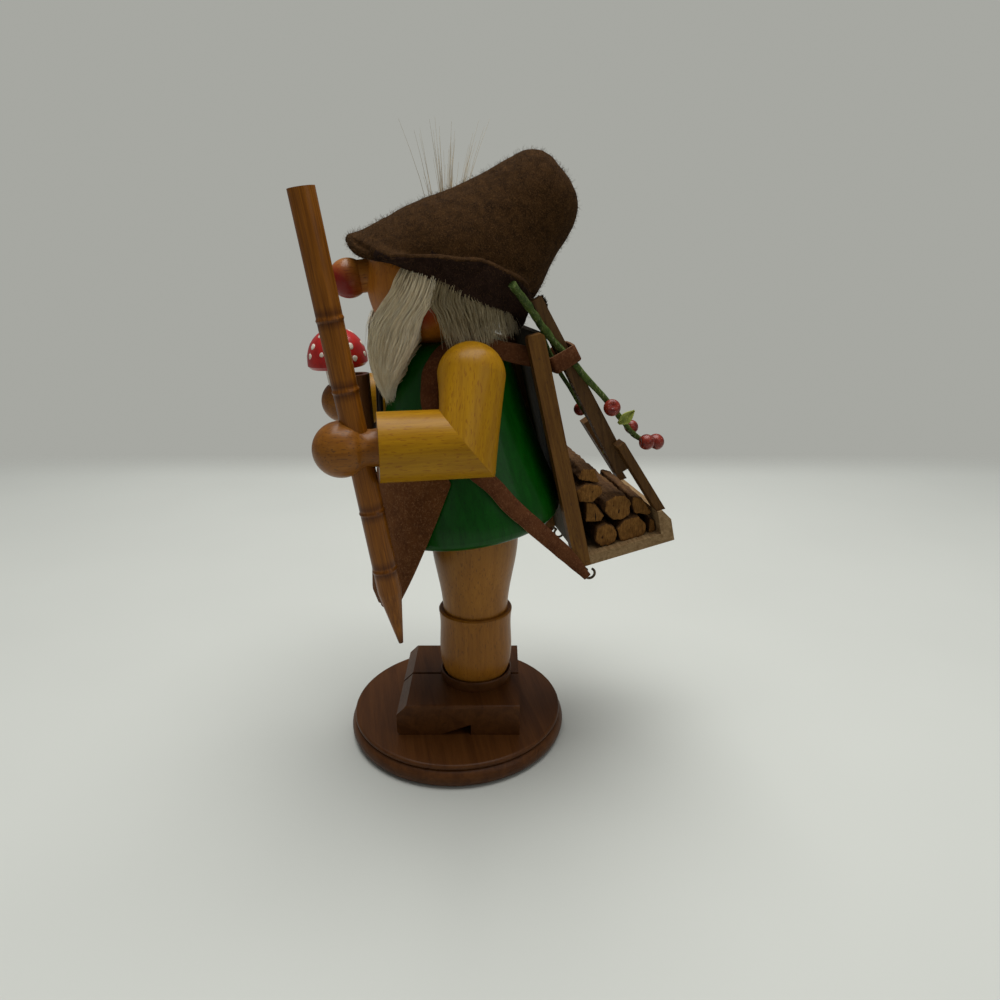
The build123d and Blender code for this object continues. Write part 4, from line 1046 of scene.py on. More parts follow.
@dataclass(frozen=True)
class Figure:
    """The turned pieces of the upper figure, with red spots on the cheek and the nose's tip."""

    coat: Pair = ((0.002, 0.075, 0.002), (0.0005, 0.048, 0.0005))
    coat_fleck: Colour = (0.001, 0.012, 0.002)
    face: Pair = ((0.5, 0.18, 0.016), (0.4, 0.13, 0.01))
    cheek: Spot = Spot((0.3, 0.04, 0.008), (22.0, -22.0, 176.0), 11.0)
    nose: Pair = ((0.44, 0.18, 0.028), (0.33, 0.115, 0.016))
    nose_tip: Spot = Spot((0.2, 0.01, 0.003), (4.0, -48.5, 180.3), 12.0)
    sleeve: Pair = ((0.4, 0.195, 0.002), (0.31, 0.14, 0.001))
    sleeve_fleck: Colour = (0.22, 0.08, 0.002)
    hand: Pair = ((0.27, 0.1, 0.009), (0.19, 0.062, 0.005))

    def dress(self) -> None:
        """Gives the turned nodes their finishes."""
        Workshop.dress(
            WoodFinish(*self.coat, Grain.COAT, band=3.0, fleck=0.3, fleck_colour=self.coat_fleck,
                       roughness=0.34, gloss=0.14),
            "green_gloss_stain", "coat")
        Workshop.dress(
            WoodFinish(*self.face, Grain.COAT, band=2.5, fleck=0.3, roughness=0.38, gloss=0.15,
                       gloss_roughness=0.2, spot=self.cheek),
            "face_lacquer", "head")
        Workshop.dress(
            WoodFinish(*self.nose, Grain.FOREARM, band=1.6, fleck=0.5, roughness=0.38, gloss=0.2,
                       gloss_roughness=0.18, spot=self.nose_tip),
            "nose_lacquer", "nose")
        for part, grain in (("forearm", Grain.FOREARM), ("upper_arm", Grain.UPPER_ARM)):
            Workshop.dress(
                WoodFinish(*self.sleeve, grain, band=1.8, fleck=0.7, fleck_colour=self.sleeve_fleck,
                           roughness=0.4, gloss=0.08, gloss_roughness=0.18),
                f"yellow_{part}", f"left_{part}", f"right_{part}")
        Workshop.dress(
            WoodFinish(*self.hand, Grain.FOREARM, band=2.0, fleck=0.6, roughness=0.38, gloss=0.17,
                       gloss_roughness=0.2),
            "hand_lacquer", "left_hand", "right_hand")


@dataclass(frozen=True)
class Staff:
    """Bamboo staff with darker rings at its joints, given as shares of its length."""

    foot: Place = (42.0, -32.85, 64.38)
    length: float = 147.3
    cane: Pair = ((0.27, 0.092, 0.006), (0.135, 0.042, 0.003))
    dark: Colour = (0.34, 0.26, 0.2)
    pale: Colour = (1.0, 0.95, 0.85)
    foot_share: float = 0.03
    ring_shares: tuple[float, ...] = (0.193, 0.334, 0.606, 0.752)
    ring_half: float = 0.011

    def make(self, name: str) -> bpy.types.Material:
        """Makes the bamboo's material under a name."""
        shader = Shader(name)
        turn = Grain.STAFF.turned()
        light, dark = self.cane
        streaks = shader.noise(shader.place((0.5, 0.5, 16.0), turn), 3, 0.6, 0.5)
        clouds = shader.noise(shader.place((3.0, 3.0, 14.0), turn), 3, 0.6)
        colour = shader.ramp(streaks, (0.3, dark), (0.66, light))
        colour = shader.darken(colour, clouds, (0.55, 0.5, 0.45), 0.35, 0.6, 0.4)
        share = shader.part(shader.place(self.length, turn, at(*self.foot)), "Z")
        stops = [(0.0, self.dark), (self.foot_share, WHITE)]
        for ring in self.ring_shares:
            stops += [(ring - 2 * self.ring_half, WHITE), (ring - self.ring_half / 2, self.dark),
                      (ring + self.ring_half / 2, self.pale), (ring + self.ring_half, self.dark),
                      (ring + 2.5 * self.ring_half, WHITE)]
        shader.put("Base Color", shader.blend(0.85, colour, shader.ramp(share, *stops), "MULTIPLY"))
        shader.put("Roughness", shader.span(streaks, 0.42, 0.28))
        shader.set(Coat_Weight=0.1, Coat_Roughness=0.2, Specular_IOR_Level=0.15)
        shader.bump(streaks, 0.08)
        return shader.material

    def dress(self) -> None:
        """Gives the staff its bamboo."""
        Workshop.dress(self, "amber_bamboo", "staff")


@dataclass(frozen=True)
class Mushroom:
    """Toadstool on the right hand: red cap with raised white dots, white stem.

    Each row of dots is its angle above the cap's middle, its count and its dots' half angle, in degrees.
    """

    red: Pair = ((0.4, 0.016, 0.012), (0.28, 0.01, 0.008))
    white: Pair = ((0.68, 0.62, 0.52), (0.55, 0.48, 0.38))
    side: float = -42.0
    back: float = -48.6
    hand_up: float = 134.2
    lean: float = math.radians(4.0)
    core: float = 18.0
    dot_rows: tuple[tuple[float, int, float], ...] = (
        (88.0, 1, 7.5), (58.0, 5, 7.0), (30.0, 8, 6.5), (8.0, 11, 5.0),
    )
    row_shift: float = 0.37
    dot_scatter: float = 4.0
    dot_rise: float = 0.22
    dot_sides: int = 16
    dot_profile: tuple[tuple[float, float], ...] = ((0.0, 1.0), (0.55, 0.95), (0.9, 0.6), (1.05, -0.3))

    def dress(self) -> None:
        """Dresses the cap and the stem and adds the dots, row by row from the top."""
        Workshop.dress(PaintFinish(*self.red), "mushroom_red", "mushroom_cap")
        white = Workshop.dress(PaintFinish(*self.white), "mushroom_white", "mushroom_stem")
        axis = towards(0, -math.sin(self.lean), math.cos(self.lean))
        middle = at(self.side, self.back, self.hand_up) + axis * self.core * MM
        mesh = bmesh.new()
        mesh.from_mesh(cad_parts["mushroom_cap"].data)
        skin = BVHTree.FromBMesh(mesh)
        points: list[Vector] = []
        faces: list[tuple[int, ...]] = []
        for row, (rise, count, size) in enumerate(self.dot_rows):
            for number in range(count):
                around = math.tau * (number + self.row_shift * row) / count
                up = math.radians(rise + self.dot_scatter * math.sin(3 * around + row))
                out = (SIDE * math.cos(around) + BACK * math.sin(around)) * math.cos(up) + axis * math.sin(up)
                half = math.radians(size * (0.85 + 0.3 * math.sin(7 * around) ** 2))
                self.add_dot(skin, middle, out, half, points, faces)
        mesh.free()
        dots = Workshop.from_faces("mushroom_dots", points, faces)
        Workshop.finish(dots, "mushroom_white", [white])

    def add_dot(self, skin: BVHTree, middle: Vector, out: Vector, half: float, points: list[Vector],
                faces: list[tuple[int, ...]]) -> None:
        """Adds one dot that follows the cap's skin.

        Args:
            skin: The cap's surface.
            middle: A place inside the cap.
            out: The way from there to the dot.
            half: The dot's half angle, in radians.
            points: Corners, to which the dot's are added.
            faces: Faces, to which the dot's are added.
        """
        across = out.orthogonal().normalized()
        over = out.cross(across)
        first = len(points)
        sides = self.dot_sides
        for share, lift in self.dot_profile:
            for corner in range(1 if share == 0 else sides):
                angle = math.tau * corner / sides
                wobble = 1 + 0.07 * math.sin(3 * angle + 40 * out.x)
                round_out = across * math.cos(angle) + over * math.sin(angle)
                way = out + round_out * math.tan(half * share * wobble)
                hit = skin.ray_cast(middle, way.normalized())
                points.append(hit[0] + way.normalized() * lift * self.dot_rise * MM)
        for corner in range(sides):
            after = (corner + 1) % sides
            faces.append((first, first + 1 + corner, first + 1 + after))
            for ring in (0, sides):
                low = first + 1 + ring
                faces.append((low + corner, low + sides + corner, low + sides + after, low + after))


@dataclass(frozen=True)
class Pipe:
    """Pipe with a gloss bowl and a black mouthpiece."""

    bowl: Pair = ((0.13, 0.05, 0.014), (0.07, 0.024, 0.007))
    black: Pair = ((0.02, 0.018, 0.018), (0.012, 0.011, 0.011))

    def dress(self) -> None:
        """Gives the bowl and the stem their finishes."""
        Workshop.dress(WoodFinish(*self.bowl, band=1.6, fleck=0.5, roughness=0.36, gloss=0.17), "pipe_wood",
                       "pipe_bowl")
        Workshop.dress(PaintFinish(*self.black), "pipe_black", "pipe_stem")


@dataclass(frozen=True)
class FeltHat:
    """Felt hat: a fibrous skin over the node's form, loose wool that fuzzes its outline, and painted shade on
    its brim's underside.

    The brim's plane is tilted back, and its middle lies on the coat's axis. Places on a section through the
    hat are pairs: millimetres out from that middle and up from that plane.
    """

    tilt: float = math.radians(31.0)
    middle_rise: float = 89.0
    swell: float = 0.3
    skin: float = 0.65
    rounds: int = 4
    last_rounds: int = 5
    relief_size: float = 5.0
    relief_depth: float = 0.5
    brim_tip: tuple[float, float] = (33.3, -0.3)
    front_end: tuple[float, float] = (21.5, 16.5)
    fill_share: float = 0.88
    fill_depth: float = 9.0
    fill_margin: float = 1.0
    fill_facing: float = 0.12
    fill_fade: tuple[float, float] = (0.2, 0.55)
    # Painted shade: darker felt on the brim's downward faces beyond under_reach, below under_height, away from
    # the front
    underside_shade_felt: FeltFinish = FeltFinish((0.026, 0.013, 0.009), (0.012, 0.006, 0.004), (0.06, 0.034, 0.024))
    under_reach: float = 24.0
    under_height: float = 14.0
    under_facing: tuple[float, float] = (0.25, -0.2)
    under_front: float = 0.72
    wool_felt: FeltFinish = FeltFinish((0.12, 0.066, 0.028), (0.07, 0.037, 0.015))
    fibres: int = 9000
    fibre_length: tuple[float, float] = (0.6, 2.2)
    fibre_leans: tuple[float, float] = (0.7, 0.8)
    fibre_root: float = 0.1
    fibre_radii: tuple[float, float] = (0.04, 0.016)

    @property
    def up(self) -> Vector:
        """The direction up from the brim's plane."""
        return towards(0, math.sin(self.tilt), math.cos(self.tilt))

    @property
    def front(self) -> Vector:
        """The direction forwards in the brim's plane."""
        return towards(0, -math.cos(self.tilt), math.sin(self.tilt))

    @property
    def middle(self) -> Vector:
        """The brim's middle, in metres."""
        return COAT.point(self.middle_rise, 0, 0)

    def build(self) -> None:
        """Builds and dresses the hat and its fuzz."""
        felt = FeltFinish().make("hat_felt")
        # The second material is painted shade on the brim's underside
        under = self.underside_shade_felt.make("hat_underside_shade")
        hat = Workshop.copy_node("hat", "felt_hat")
        Workshop.shape(hat, "DISPLACE", strength=self.swell * MM, mid_level=0.0)
        Workshop.soften(hat, self.skin, self.rounds)
        self.fill_front(hat)
        Workshop.shape(hat, "SMOOTH", factor=0.5, iterations=self.last_rounds)
        Workshop.roughen(hat, self.relief_size, self.relief_depth)
        self.paint_underside_shade(hat)
        Workshop.finish(hat, "felt", [felt, under], ("hat",), 80)
        Workshop.finish(self.fuzz(hat), "felt", [self.wool_felt.make("hat_wool")])

    def fill_front(self, hat: Object) -> None:
        """Draws the felt between the brim's front and the crown out to one slope.

        Args:
            hat: The hat, which is changed.
        """
        up, front, middle = self.up, self.front, self.middle
        low, high = Vector(self.brim_tip), Vector(self.front_end)
        slope = (high - low).normalized()
        away = Vector((slope.y, -slope.x))
        fade_start, fade_run = self.fill_fade
        for vertex in hat.data.vertices:
            place = (vertex.co - middle) / MM
            flat = place - up * place.dot(up)
            out = flat.normalized()
            spot = Vector((flat.length, place.dot(up))) - low
            push = out * away.x + up * away.y
            near = min(1.0, max(0.0, (out.dot(front) - fade_start) / fade_run))
            depth = -spot.dot(away)
            on_slope = -self.fill_margin < spot.dot(slope) < (high - low).length
            if vertex.normal.dot(push) > self.fill_facing and 0 < depth < self.fill_depth and on_slope:
                near *= near * (3 - 2 * near)
                vertex.co += push * depth * self.fill_share * near * MM

    def paint_underside_shade(self, hat: Object) -> None:
        """Paints shade on the brim's underside: its downward faces, away from its front, get the darker second
        material.

        Args:
            hat: The hat, whose faces are marked.
        """
        up, front, middle = self.up, self.front, self.middle
        steep, level = self.under_facing
        for polygon in hat.data.polygons:
            place = polygon.center - middle
            flat = place - up * place.dot(up)
            out = flat.normalized()
            faces_down = polygon.normal.dot(up) < steep * polygon.normal.dot(out) + level
            on_brim = flat.length > self.under_reach * MM and place.dot(up) < self.under_height * MM
            polygon.material_index = int(faces_down and on_brim and out.dot(front) < self.under_front)

    def fuzz(self, hat: Object) -> Object:
        """Scatters loose fibres over the hat's skin.

        Args:
            hat: The hat.

        Returns:
            The fibres as one object.
        """
        wool = Strands(11)
        polygons = hat.data.polygons
        first_lean, second_lean = self.fibre_leans
        for _ in range(self.fibres):
            polygon = polygons[wool.chance.randrange(len(polygons))]
            lean = Vector([wool.chance.uniform(-1, 1) for _ in range(3)])
            length = wool.chance.uniform(*self.fibre_length) * MM
            first = (polygon.normal + lean * first_lean).normalized()
            second = (first + lean * second_lean).normalized()
            root = polygon.center - polygon.normal * self.fibre_root * MM
            line = [root, root + first * length * 0.5, root + (first + second) * length * 0.5]
            wool.add(line, *self.fibre_radii)
        return wool.build("hat_fuzz")


@dataclass(frozen=True)
class FurPatch:
    """Long hairs that follow the head between two edges.

    Each edge is rows of a height on the coat's axis and an angle from the front. The outer form is rows of a
    height and a distance from the axis.
    """

    name: str
    seed: int
    low: float
    high: float
    front: Rows
    rear: Rows
    lengths: tuple[float, float]
    end: float
    drift: float = 0.0
    finish: FurFinish = FurFinish()
    hairs: int = 4200
    least_length: float = 3.0
    end_scatter: float = 1.2
    steps: int = 6
    drift_length: float = 15.0
    wave: float = 1.3
    stray_share: float = 0.09
    stray_turn: float = 4.0
    stray_rise: float = 0.12
    skin_gap: float = 0.3
    root_share: float = 0.25
    ripple: float = 0.25
    deep: float = 3.4
    hair_radius: float = 0.14
    outer: Rows = ((53, 27.6), (62, 28.9), (75.5, 27.0), (90.5, 28.0), (100, 27.0))

    def build(self) -> None:
        """Builds and dresses the patch's hairs on both sides."""
        hairs = Strands(self.seed)
        for _ in range(self.hairs):
            self.add_hair(hairs)
        fur = self.finish.make(f"{self.name}_fur")
        Workshop.finish(hairs.build(f"{self.name}_hairs"), "fur", [fur], (self.name,))

    def add_hair(self, hairs: Strands) -> None:
        """Adds one hair of the patch, which hangs from its root, swells away from the skin and waves.

        Args:
            hairs: The bundle that it goes into.
        """
        chance = hairs.chance
        height = chance.uniform(self.low, self.high)
        across = chance.random()
        side = chance.choice((-1, 1))
        length = chance.uniform(*self.lengths)
        length = min(length, max(self.least_length, height - self.end + chance.gauss(0, self.end_scatter)))
        layer = chance.random() ** 0.7
        wave, turn = chance.uniform(-1, 1), chance.uniform(0, math.tau)
        stray = float(chance.random() < self.stray_share)
        line = []
        for step in range(self.steps + 1):
            t = step / self.steps
            now = height - length * t
            front, rear = between(self.front, now), between(self.rear, now)
            angle = front + (rear - front) * across + self.drift * t * length / self.drift_length
            angle += wave * self.wave * math.sin(3.5 * t + turn) + stray * self.stray_turn * wave * t * t
            skin = COAT.radius(now) + self.skin_gap
            hull = between(self.outer, now) - self.deep * (1 - layer)
            rise = min(1.0, self.root_share + 2.6 * t) * (1 + stray * self.stray_rise * t)
            radius = max(skin, skin + (hull - skin) * rise) + self.ripple * math.sin(5 * t + turn)
            line.append(COAT.point(now, side * angle, radius))
        radius = self.hair_radius * (1.45 - 0.6 * layer) * chance.uniform(0.85, 1.2)
        hairs.add(line, radius, radius * 0.22)


# The beard's fur colours are brighter than the hair's: painted light, as the beard swells out below the hat
# and catches the light
BEARD = FurPatch(
    "beard", 3, 60.0, 100.0,
    ((54, 25), (58, 20), (62, 14), (66, 9), (72, 6.5), (77.5, 13), (83.5, 32), (90, 51), (97, 61), (101, 66)),
    ((54, 29), (56, 32), (62, 45), (67.5, 54), (72, 61), (77, 66), (81, 71), (84.5, 79), (92, 85), (99, 92)),
    (13.0, 23.0), 54.5, finish=FurFinish((0.5, 0.4, 0.24), (0.95, 0.84, 0.6), (1.0, 0.95, 0.78), 0.3),
)
HAIR = FurPatch(
    "hair", 7, 79.0, 101.0,
    ((70, 91), (76, 87), (81, 83), (84.5, 78), (92, 84), (99, 88)),
    ((70, 180), (99, 180)),
    (9.0, 18.0), 69.4, -5.0,
)


@dataclass(frozen=True)
class Tuft:
    """Thin off-white hairs that fan out above the hat's far side.

    Each bundle is a pair: how far back its foot stands, and how far back its hairs fan at their tips.
    """

    root: Place = (-28.9, -4.3, 190.0)
    tip: Place = (-29.0, -8.0, 237.0)
    hairs: int = 60
    bundles: tuple[tuple[float, float], ...] = ((-4.0, -8.0), (-0.5, -1.5), (1.0, 4.5), (4.0, 15.0))
    reach: tuple[float, float] = (0.6, 1.08)
    fan_scatter: float = 2.2
    side_scatter: float = 1.2
    foot_scatter: tuple[float, float] = (0.8, 0.5)
    bend: tuple[float, float] = (-0.15, 0.4)
    steps: int = 5
    hair_radii: tuple[float, float] = (0.13, 0.035)
    finish: FurFinish = FurFinish((0.4, 0.28, 0.14), (0.62, 0.48, 0.28), (0.8, 0.7, 0.5))

    def build(self) -> None:
        """Builds and dresses the tuft."""
        tuft = Strands(5)
        chance = tuft.chance
        root, tip = at(*self.root), at(*self.tip)
        back_scatter, across_scatter = self.foot_scatter
        back_bend, side_bend = self.bend
        for _ in range(self.hairs):
            reach = chance.uniform(*self.reach)
            foot, fan = chance.choice(self.bundles)
            fan += chance.gauss(0, self.fan_scatter)
            side = chance.uniform(-self.side_scatter, self.side_scatter)
            end = root + (tip - root) * reach + (BACK * fan + SIDE * side) * MM * reach
            bend = (BACK * fan * back_bend + SIDE * side * side_bend) * MM
            foot += chance.uniform(-back_scatter, back_scatter)
            start = root + (BACK * foot + SIDE * chance.uniform(-across_scatter, across_scatter)) * MM
            shares = [step / self.steps for step in range(self.steps + 1)]
            line = [start + (end - start) * t + bend * math.sin(math.pi * t) for t in shares]
            tuft.add(line, *self.hair_radii)
        Workshop.finish(tuft.build("tuft_hairs"), "fur", [self.finish.make("tuft_hair")], ("hat_tuft",))


@dataclass(frozen=True)
class Apron:
    """Leather apron that hangs from under the arms to a pointed hem.

    A plane cuts each side edge. Its distance before the coat's axis is edge_front less edge_fall for each
    millimetre of height, divided by edge_square for the axis's lean. The hem rises from its middle by hem_rise
    at hem_reach to each side.
    """

    leather: Suede = ((0.125, 0.045, 0.012), (0.08, 0.026, 0.007), (0.24, 0.11, 0.048))
    cut_edge: Suede = ((0.2, 0.1, 0.05), (0.13, 0.06, 0.028), (0.28, 0.16, 0.09))
    drop: Rows = (
        (-28.9, 39.5), (-21.2, 40.8), (-8.1, 38.8), (3.2, 36.4), (9.5, 35.3), (20.1, 32.7), (36.0, 28.8),
    )
    edge_front: float = 20.7
    edge_fall: float = 0.5307
    edge_square: float = 0.9387
    hem_up: float = 61.0
    hem_rise: float = 6.6
    hem_reach: float = 20.0
    hem_guess: float = -25.0
    hem_rounds: int = 12
    thick: float = 1.2
    gap: float = 0.1
    top: float = 36.0
    notch: float = 24.5
    notch_start: float = 0.757
    columns: int = 72
    rows: int = 60
    ripple: float = 0.55
    dent: float = 0.25

    def edge_angle(self, height: float) -> float:
        """Gives the angle of the side edge, in degrees, at a height on the coat's axis."""
        share = (self.edge_front - self.edge_fall * height) / (self.edge_square * between(self.drop, height))
        return math.degrees(math.acos(min(1.0, share)))

    def hem(self, across: float) -> float:
        """Finds the hem's height on the coat's axis, in rounds, since the outline there depends on it.

        Args:
            across: Share from the middle to the side edge.

        Returns:
            The height in millimetres.
        """
        height = self.hem_guess
        axis_back, axis_up = Grain.COAT.value[1:]
        for _ in range(self.hem_rounds):
            radius = between(self.drop, height)
            angle = math.radians(across * self.edge_angle(height))
            up = self.hem_up + self.hem_rise * abs(radius * math.sin(angle)) / self.hem_reach
            height = (up - COAT.foot_up - axis_back * radius * math.cos(angle)) / axis_up
        return height

    def build(self) -> None:
        points, faces = [], []
        for column in range(self.columns + 1):
            across = 2 * column / self.columns - 1
            past = max(0.0, abs(across) - self.notch_start) / (1 - self.notch_start)
            top, low = self.top + (self.notch - self.top) * past, self.hem(across)
            for row in range(self.rows + 1):
                share = row / self.rows
                height = top + (low - top) * share
                angle = across * self.edge_angle(height)
                ripple = self.ripple * share * (1 + math.sin(9 * across + 1.3 * share))
                ripple += self.dent * noise.noise(Vector((across * 4, share * 3, 2)))
                radius = between(self.drop, height) + self.gap + max(0.0, ripple)
                points.append(COAT.point(height, angle, radius))
        for column in range(self.columns):
            for row in range(self.rows):
                low = column * (self.rows + 1) + row
                high = low + self.rows + 1
                faces.append((low, low + 1, high + 1, high))
        apron = Workshop.from_faces("leather_apron", points, faces)
        if sum(polygon.normal.dot(COAT.front) for polygon in apron.data.polygons) < 0:
            apron.data.flip_normals()
        Workshop.shape(apron, "SOLIDIFY", thickness=self.thick * MM, offset=1.0, use_even_offset=True,
                       material_offset_rim=1)
        leather = SuedeFinish(*self.leather).make("apron_suede")
        edge = SuedeFinish(*self.cut_edge).make("apron_cut_edge")
        Workshop.finish(apron, "apron_leather", [leather, edge], ("apron",), 50)


@dataclass(frozen=True)
class Straps:
    """Leather straps over the shoulders and round the coat, and the band round the stake and twigs.

    A run on the coat is shares of the coat's height, each with an angle from the front. The free points after
    it are places, each with the way that the strap faces there.
    """

    leather: Suede = ((0.105, 0.036, 0.012), (0.066, 0.02, 0.007), (0.17, 0.072, 0.032))
    cut_edge: Suede = ((0.22, 0.12, 0.06), (0.14, 0.07, 0.035), (0.3, 0.18, 0.1))
    nap: float = 0.08
    width: float = 6.4
    thick: float = 1.2
    gap: float = 0.4
    shoulder_run: Rows = ((0.6, 71.5), (0.67, 68.0), (0.74, 66.0), (0.82, 67.5), (0.89, 71.0))
    shoulder_free: tuple[tuple[Place, Place], ...] = (
        ((21.8, -13.5, 161.5), (0.75, -0.2, 0.63)), ((20.8, -7.0, 164.9), (0.3, 0, 0.95)),
        ((20.4, 5.0, 161.6), (1, 0, 0)),
    )
    shoulder_end: Place = (17.4, -0.9, 80.0)
    shoulder_widths: tuple[float, ...] = (1, 1, 1, 1, 1, 0.72, 0.72, 1, 1)
    lower_run: Rows = ((0.575, 74.0), (0.49, 81.0), (0.4, 90.5), (0.3, 101.0), (0.2, 108.0), (0.1, 116.5))
    lower_free: tuple[tuple[Place, Place], ...] = (
        ((28.3, 23.0, 93.4), (0.9, 0.4, 0.2)), ((25.9, 31.6, 84.6), (1, 0, 0)),
    )
    lower_end: Place = (25.9, -0.6, -4.0)
    lower_widths: tuple[float, ...] = (1, 1, 1, 1, 1, 1, 1, 0.85, 0.5)
    stake_foot: tuple[float, float] = (23.3, 30.0)
    stake_top: tuple[float, float] = (3.5, 99.6)
    band_share: float = 0.31
    band_width: float = 6.0
    band_soft: float = 1.6
    band_inner: tuple[float, float, float, float] = (8.0, -5.4, 20.6, 2.9)
    tail_side: float = 15.0
    tail_drop: float = 3.0
    tail_width: float = 5.4

    def lay(self, shares: Rows, free: tuple[tuple[Place, Place], ...],
            end: Place) -> tuple[list[Vector], list[Vector]]:
        """Gives a strap's middle line and outward directions, along the coat and on to the carrier.

        Args:
            shares: Its run on the coat.
            free: Its free points.
            end: Its last place, in the carrier's frame.

        Returns:
            The places in metres and the directions.
        """
        places, faces = [], []
        for share, angle in shares:
            height = share * COAT.height
            slope = (COAT.radius(height + self.gap) - COAT.radius(height - self.gap)) / (2 * self.gap)
            places.append(COAT.point(height, angle, COAT.radius(height) + self.gap + self.thick / 2))
            faces.append((COAT.out(angle) - COAT.axis * slope).normalized())
        for place, face in free:
            places.append(at(*place))
            faces.append(towards(*face).normalized())
        places.append(CARRIER.point(*end))
        faces.append(SIDE.copy())
        return places, faces

    def mirrored(self, place: Vector) -> Vector:
        """Gives a place on the figure's other side."""
        return place - SIDE * 2 * (place - FIGURE_FOOT * MM).dot(SIDE)

    def build(self) -> None:
        """Builds and dresses the four straps and the band."""
        leather = SuedeFinish(*self.leather, self.nap).make("strap_leather")
        edge = SuedeFinish(*self.cut_edge, self.nap).make("strap_cut_edge")
        runs = (
            ("shoulder", self.shoulder_run, self.shoulder_free, self.shoulder_end, self.shoulder_widths),
            ("lower", self.lower_run, self.lower_free, self.lower_end, self.lower_widths),
        )
        for kind, run, free, end, shares in runs:
            line, normals = self.lay(run, free, end)
            widths = [self.width * share for share in shares]
            for side in ("left", "right"):
                if side == "right":
                    line = [self.mirrored(place) for place in line]
                    normals = [normal - SIDE * 2 * normal.dot(SIDE) for normal in normals]
                strap = Sweep.strip(f"{side}_{kind}_leather", line, normals, widths, self.thick)
                Workshop.finish(strap, "strap_leather", [leather, edge], (f"{side}_{kind}_strap",), 50)
        self.build_band(leather, edge)

    def build_band(self, leather: bpy.types.Material, edge: bpy.types.Material) -> None:
        """Builds the loop round the stake and the twigs, with its tail to the board.

        Args:
            leather: The face's material.
            edge: The cut edges' material.
        """
        foot, top = Vector(self.stake_foot), Vector(self.stake_top)
        middle = top + (foot - top) * self.band_share
        run = (top - foot).normalized()
        hold = CARRIER.point(0, middle.x, middle.y)
        across = (CARRIER.out_dir * run.x + CARRIER.up_dir * run.y).cross(SIDE)
        if across.dot(CARRIER.out_dir) < 0:
            across = -across
        low_x, low_y, high_x, high_y = self.band_inner
        half, soft = self.thick / 2, self.band_soft
        low_x, low_y, high_x, high_y = low_x - half, low_y - half, high_x + half, high_y + half
        outline = (
            (low_x + soft, low_y), (high_x - soft, low_y), (high_x, low_y + soft), (high_x, high_y - soft),
            (high_x - soft, high_y), (low_x + soft, high_y), (low_x, high_y - soft), (low_x, low_y + soft),
        )
        centre = Vector(((low_x + high_x) / 2, (low_y + high_y) / 2))
        line, normals = [], []
        for x, y in outline:
            line.append(hold + (SIDE * x + across * y) * MM)
            normals.append((SIDE * (x - centre.x) * 0.6 + across * (y - centre.y)).normalized())
        band = Sweep.strip("stake_band", line, normals, [self.band_width] * len(line), self.thick, 4, True)
        Workshop.finish(band, "strap_leather", [leather, edge], ("tie_band",), 50)
        outs = (2.0, (middle.x - 4.2) / 2 + 0.6, middle.x - 5.6)
        tail = [CARRIER.point(self.tail_side, out, middle.y - self.tail_drop) for out in outs]
        strip = Sweep.strip("stake_band_tail", tail, [SIDE] * 3, [self.tail_width] * 3, self.thick)
        Workshop.finish(strip, "strap_leather", [leather, edge], (), 50)


@dataclass(frozen=True)
class Carrier:
    """Back carrier of pale wood, its screw eyes, and the split logs on its shelf."""

    posts: Pair = ((0.18, 0.082, 0.015), (0.1, 0.04, 0.007))
    slats: Pair = ((0.11, 0.05, 0.01), (0.06, 0.025, 0.005))
    board: Pair = ((0.07, 0.052, 0.022), (0.03, 0.021, 0.009))
    shelf: Pair = ((0.32, 0.21, 0.1), (0.18, 0.105, 0.042))
    stake: Pair = ((0.13, 0.065, 0.02), (0.065, 0.03, 0.009))
    bronze: Pair = ((0.12, 0.09, 0.06), (0.05, 0.035, 0.022))
    bark: Pair = ((0.12, 0.058, 0.018), (0.05, 0.022, 0.007))
    logs: int = 8
    log_skin: float = 0.45
    log_relief_size: float = 2.4
    log_relief: float = 1.1
    log_end: float = 0.75

    def build(self) -> None:
        """Dresses the frame and builds the logs."""
        posts = WoodFinish(*self.posts, Grain.RACK, band=1.5, roughness=0.6, pore_depth=0.14)
        Workshop.dress(posts, "post_wood", "left_post", "right_post")
        slats = WoodFinish(*self.slats, Grain.RACK, band=1.5, roughness=0.6, pore_depth=0.14)
        Workshop.dress(slats, "slat_wood", "left_slat", "right_slat")
        board = WoodFinish(*self.board, Grain.RACK, band=2.2, fleck=0.4, roughness=0.7, pore_depth=0.16)
        Workshop.dress(board, "board_wood", "back_board")
        shelf = WoodFinish(*self.shelf, Grain.ACROSS, band=1.8, roughness=0.6, pore_depth=0.14)
        Workshop.dress(shelf, "shelf_wood", "shelf", "shelf_lip")
        stake = WoodFinish(*self.stake, Grain.RACK, band=1.4, roughness=0.55, pore_depth=0.12)
        Workshop.dress(stake, "stake_wood", "stake")
        Workshop.dress(MetalFinish(*self.bronze), "dark_bronze", "left_screw_eye", "right_screw_eye")
        self.build_logs()

    def build_logs(self) -> None:
        """Roughens each log and gives its ends their own grain."""
        side = WoodFinish(*self.bark, Grain.ACROSS, band=1.1, fleck=0.7, roughness=0.8, pore_depth=0.3)
        materials = [side.make("split_wood"), EndGrainFinish().make("log_end_grain")]
        for number in range(1, self.logs + 1):
            log = Workshop.copy_node(f"log_{number}", f"split_log_{number}")
            Workshop.soften(log, self.log_skin, 1)
            Workshop.roughen(log, self.log_relief_size, self.log_relief)
            for polygon in log.data.polygons:
                polygon.material_index = int(abs(polygon.normal.dot(SIDE)) > self.log_end)
            Workshop.finish(log, "bark_wood", materials, (f"log_{number}",), 60)


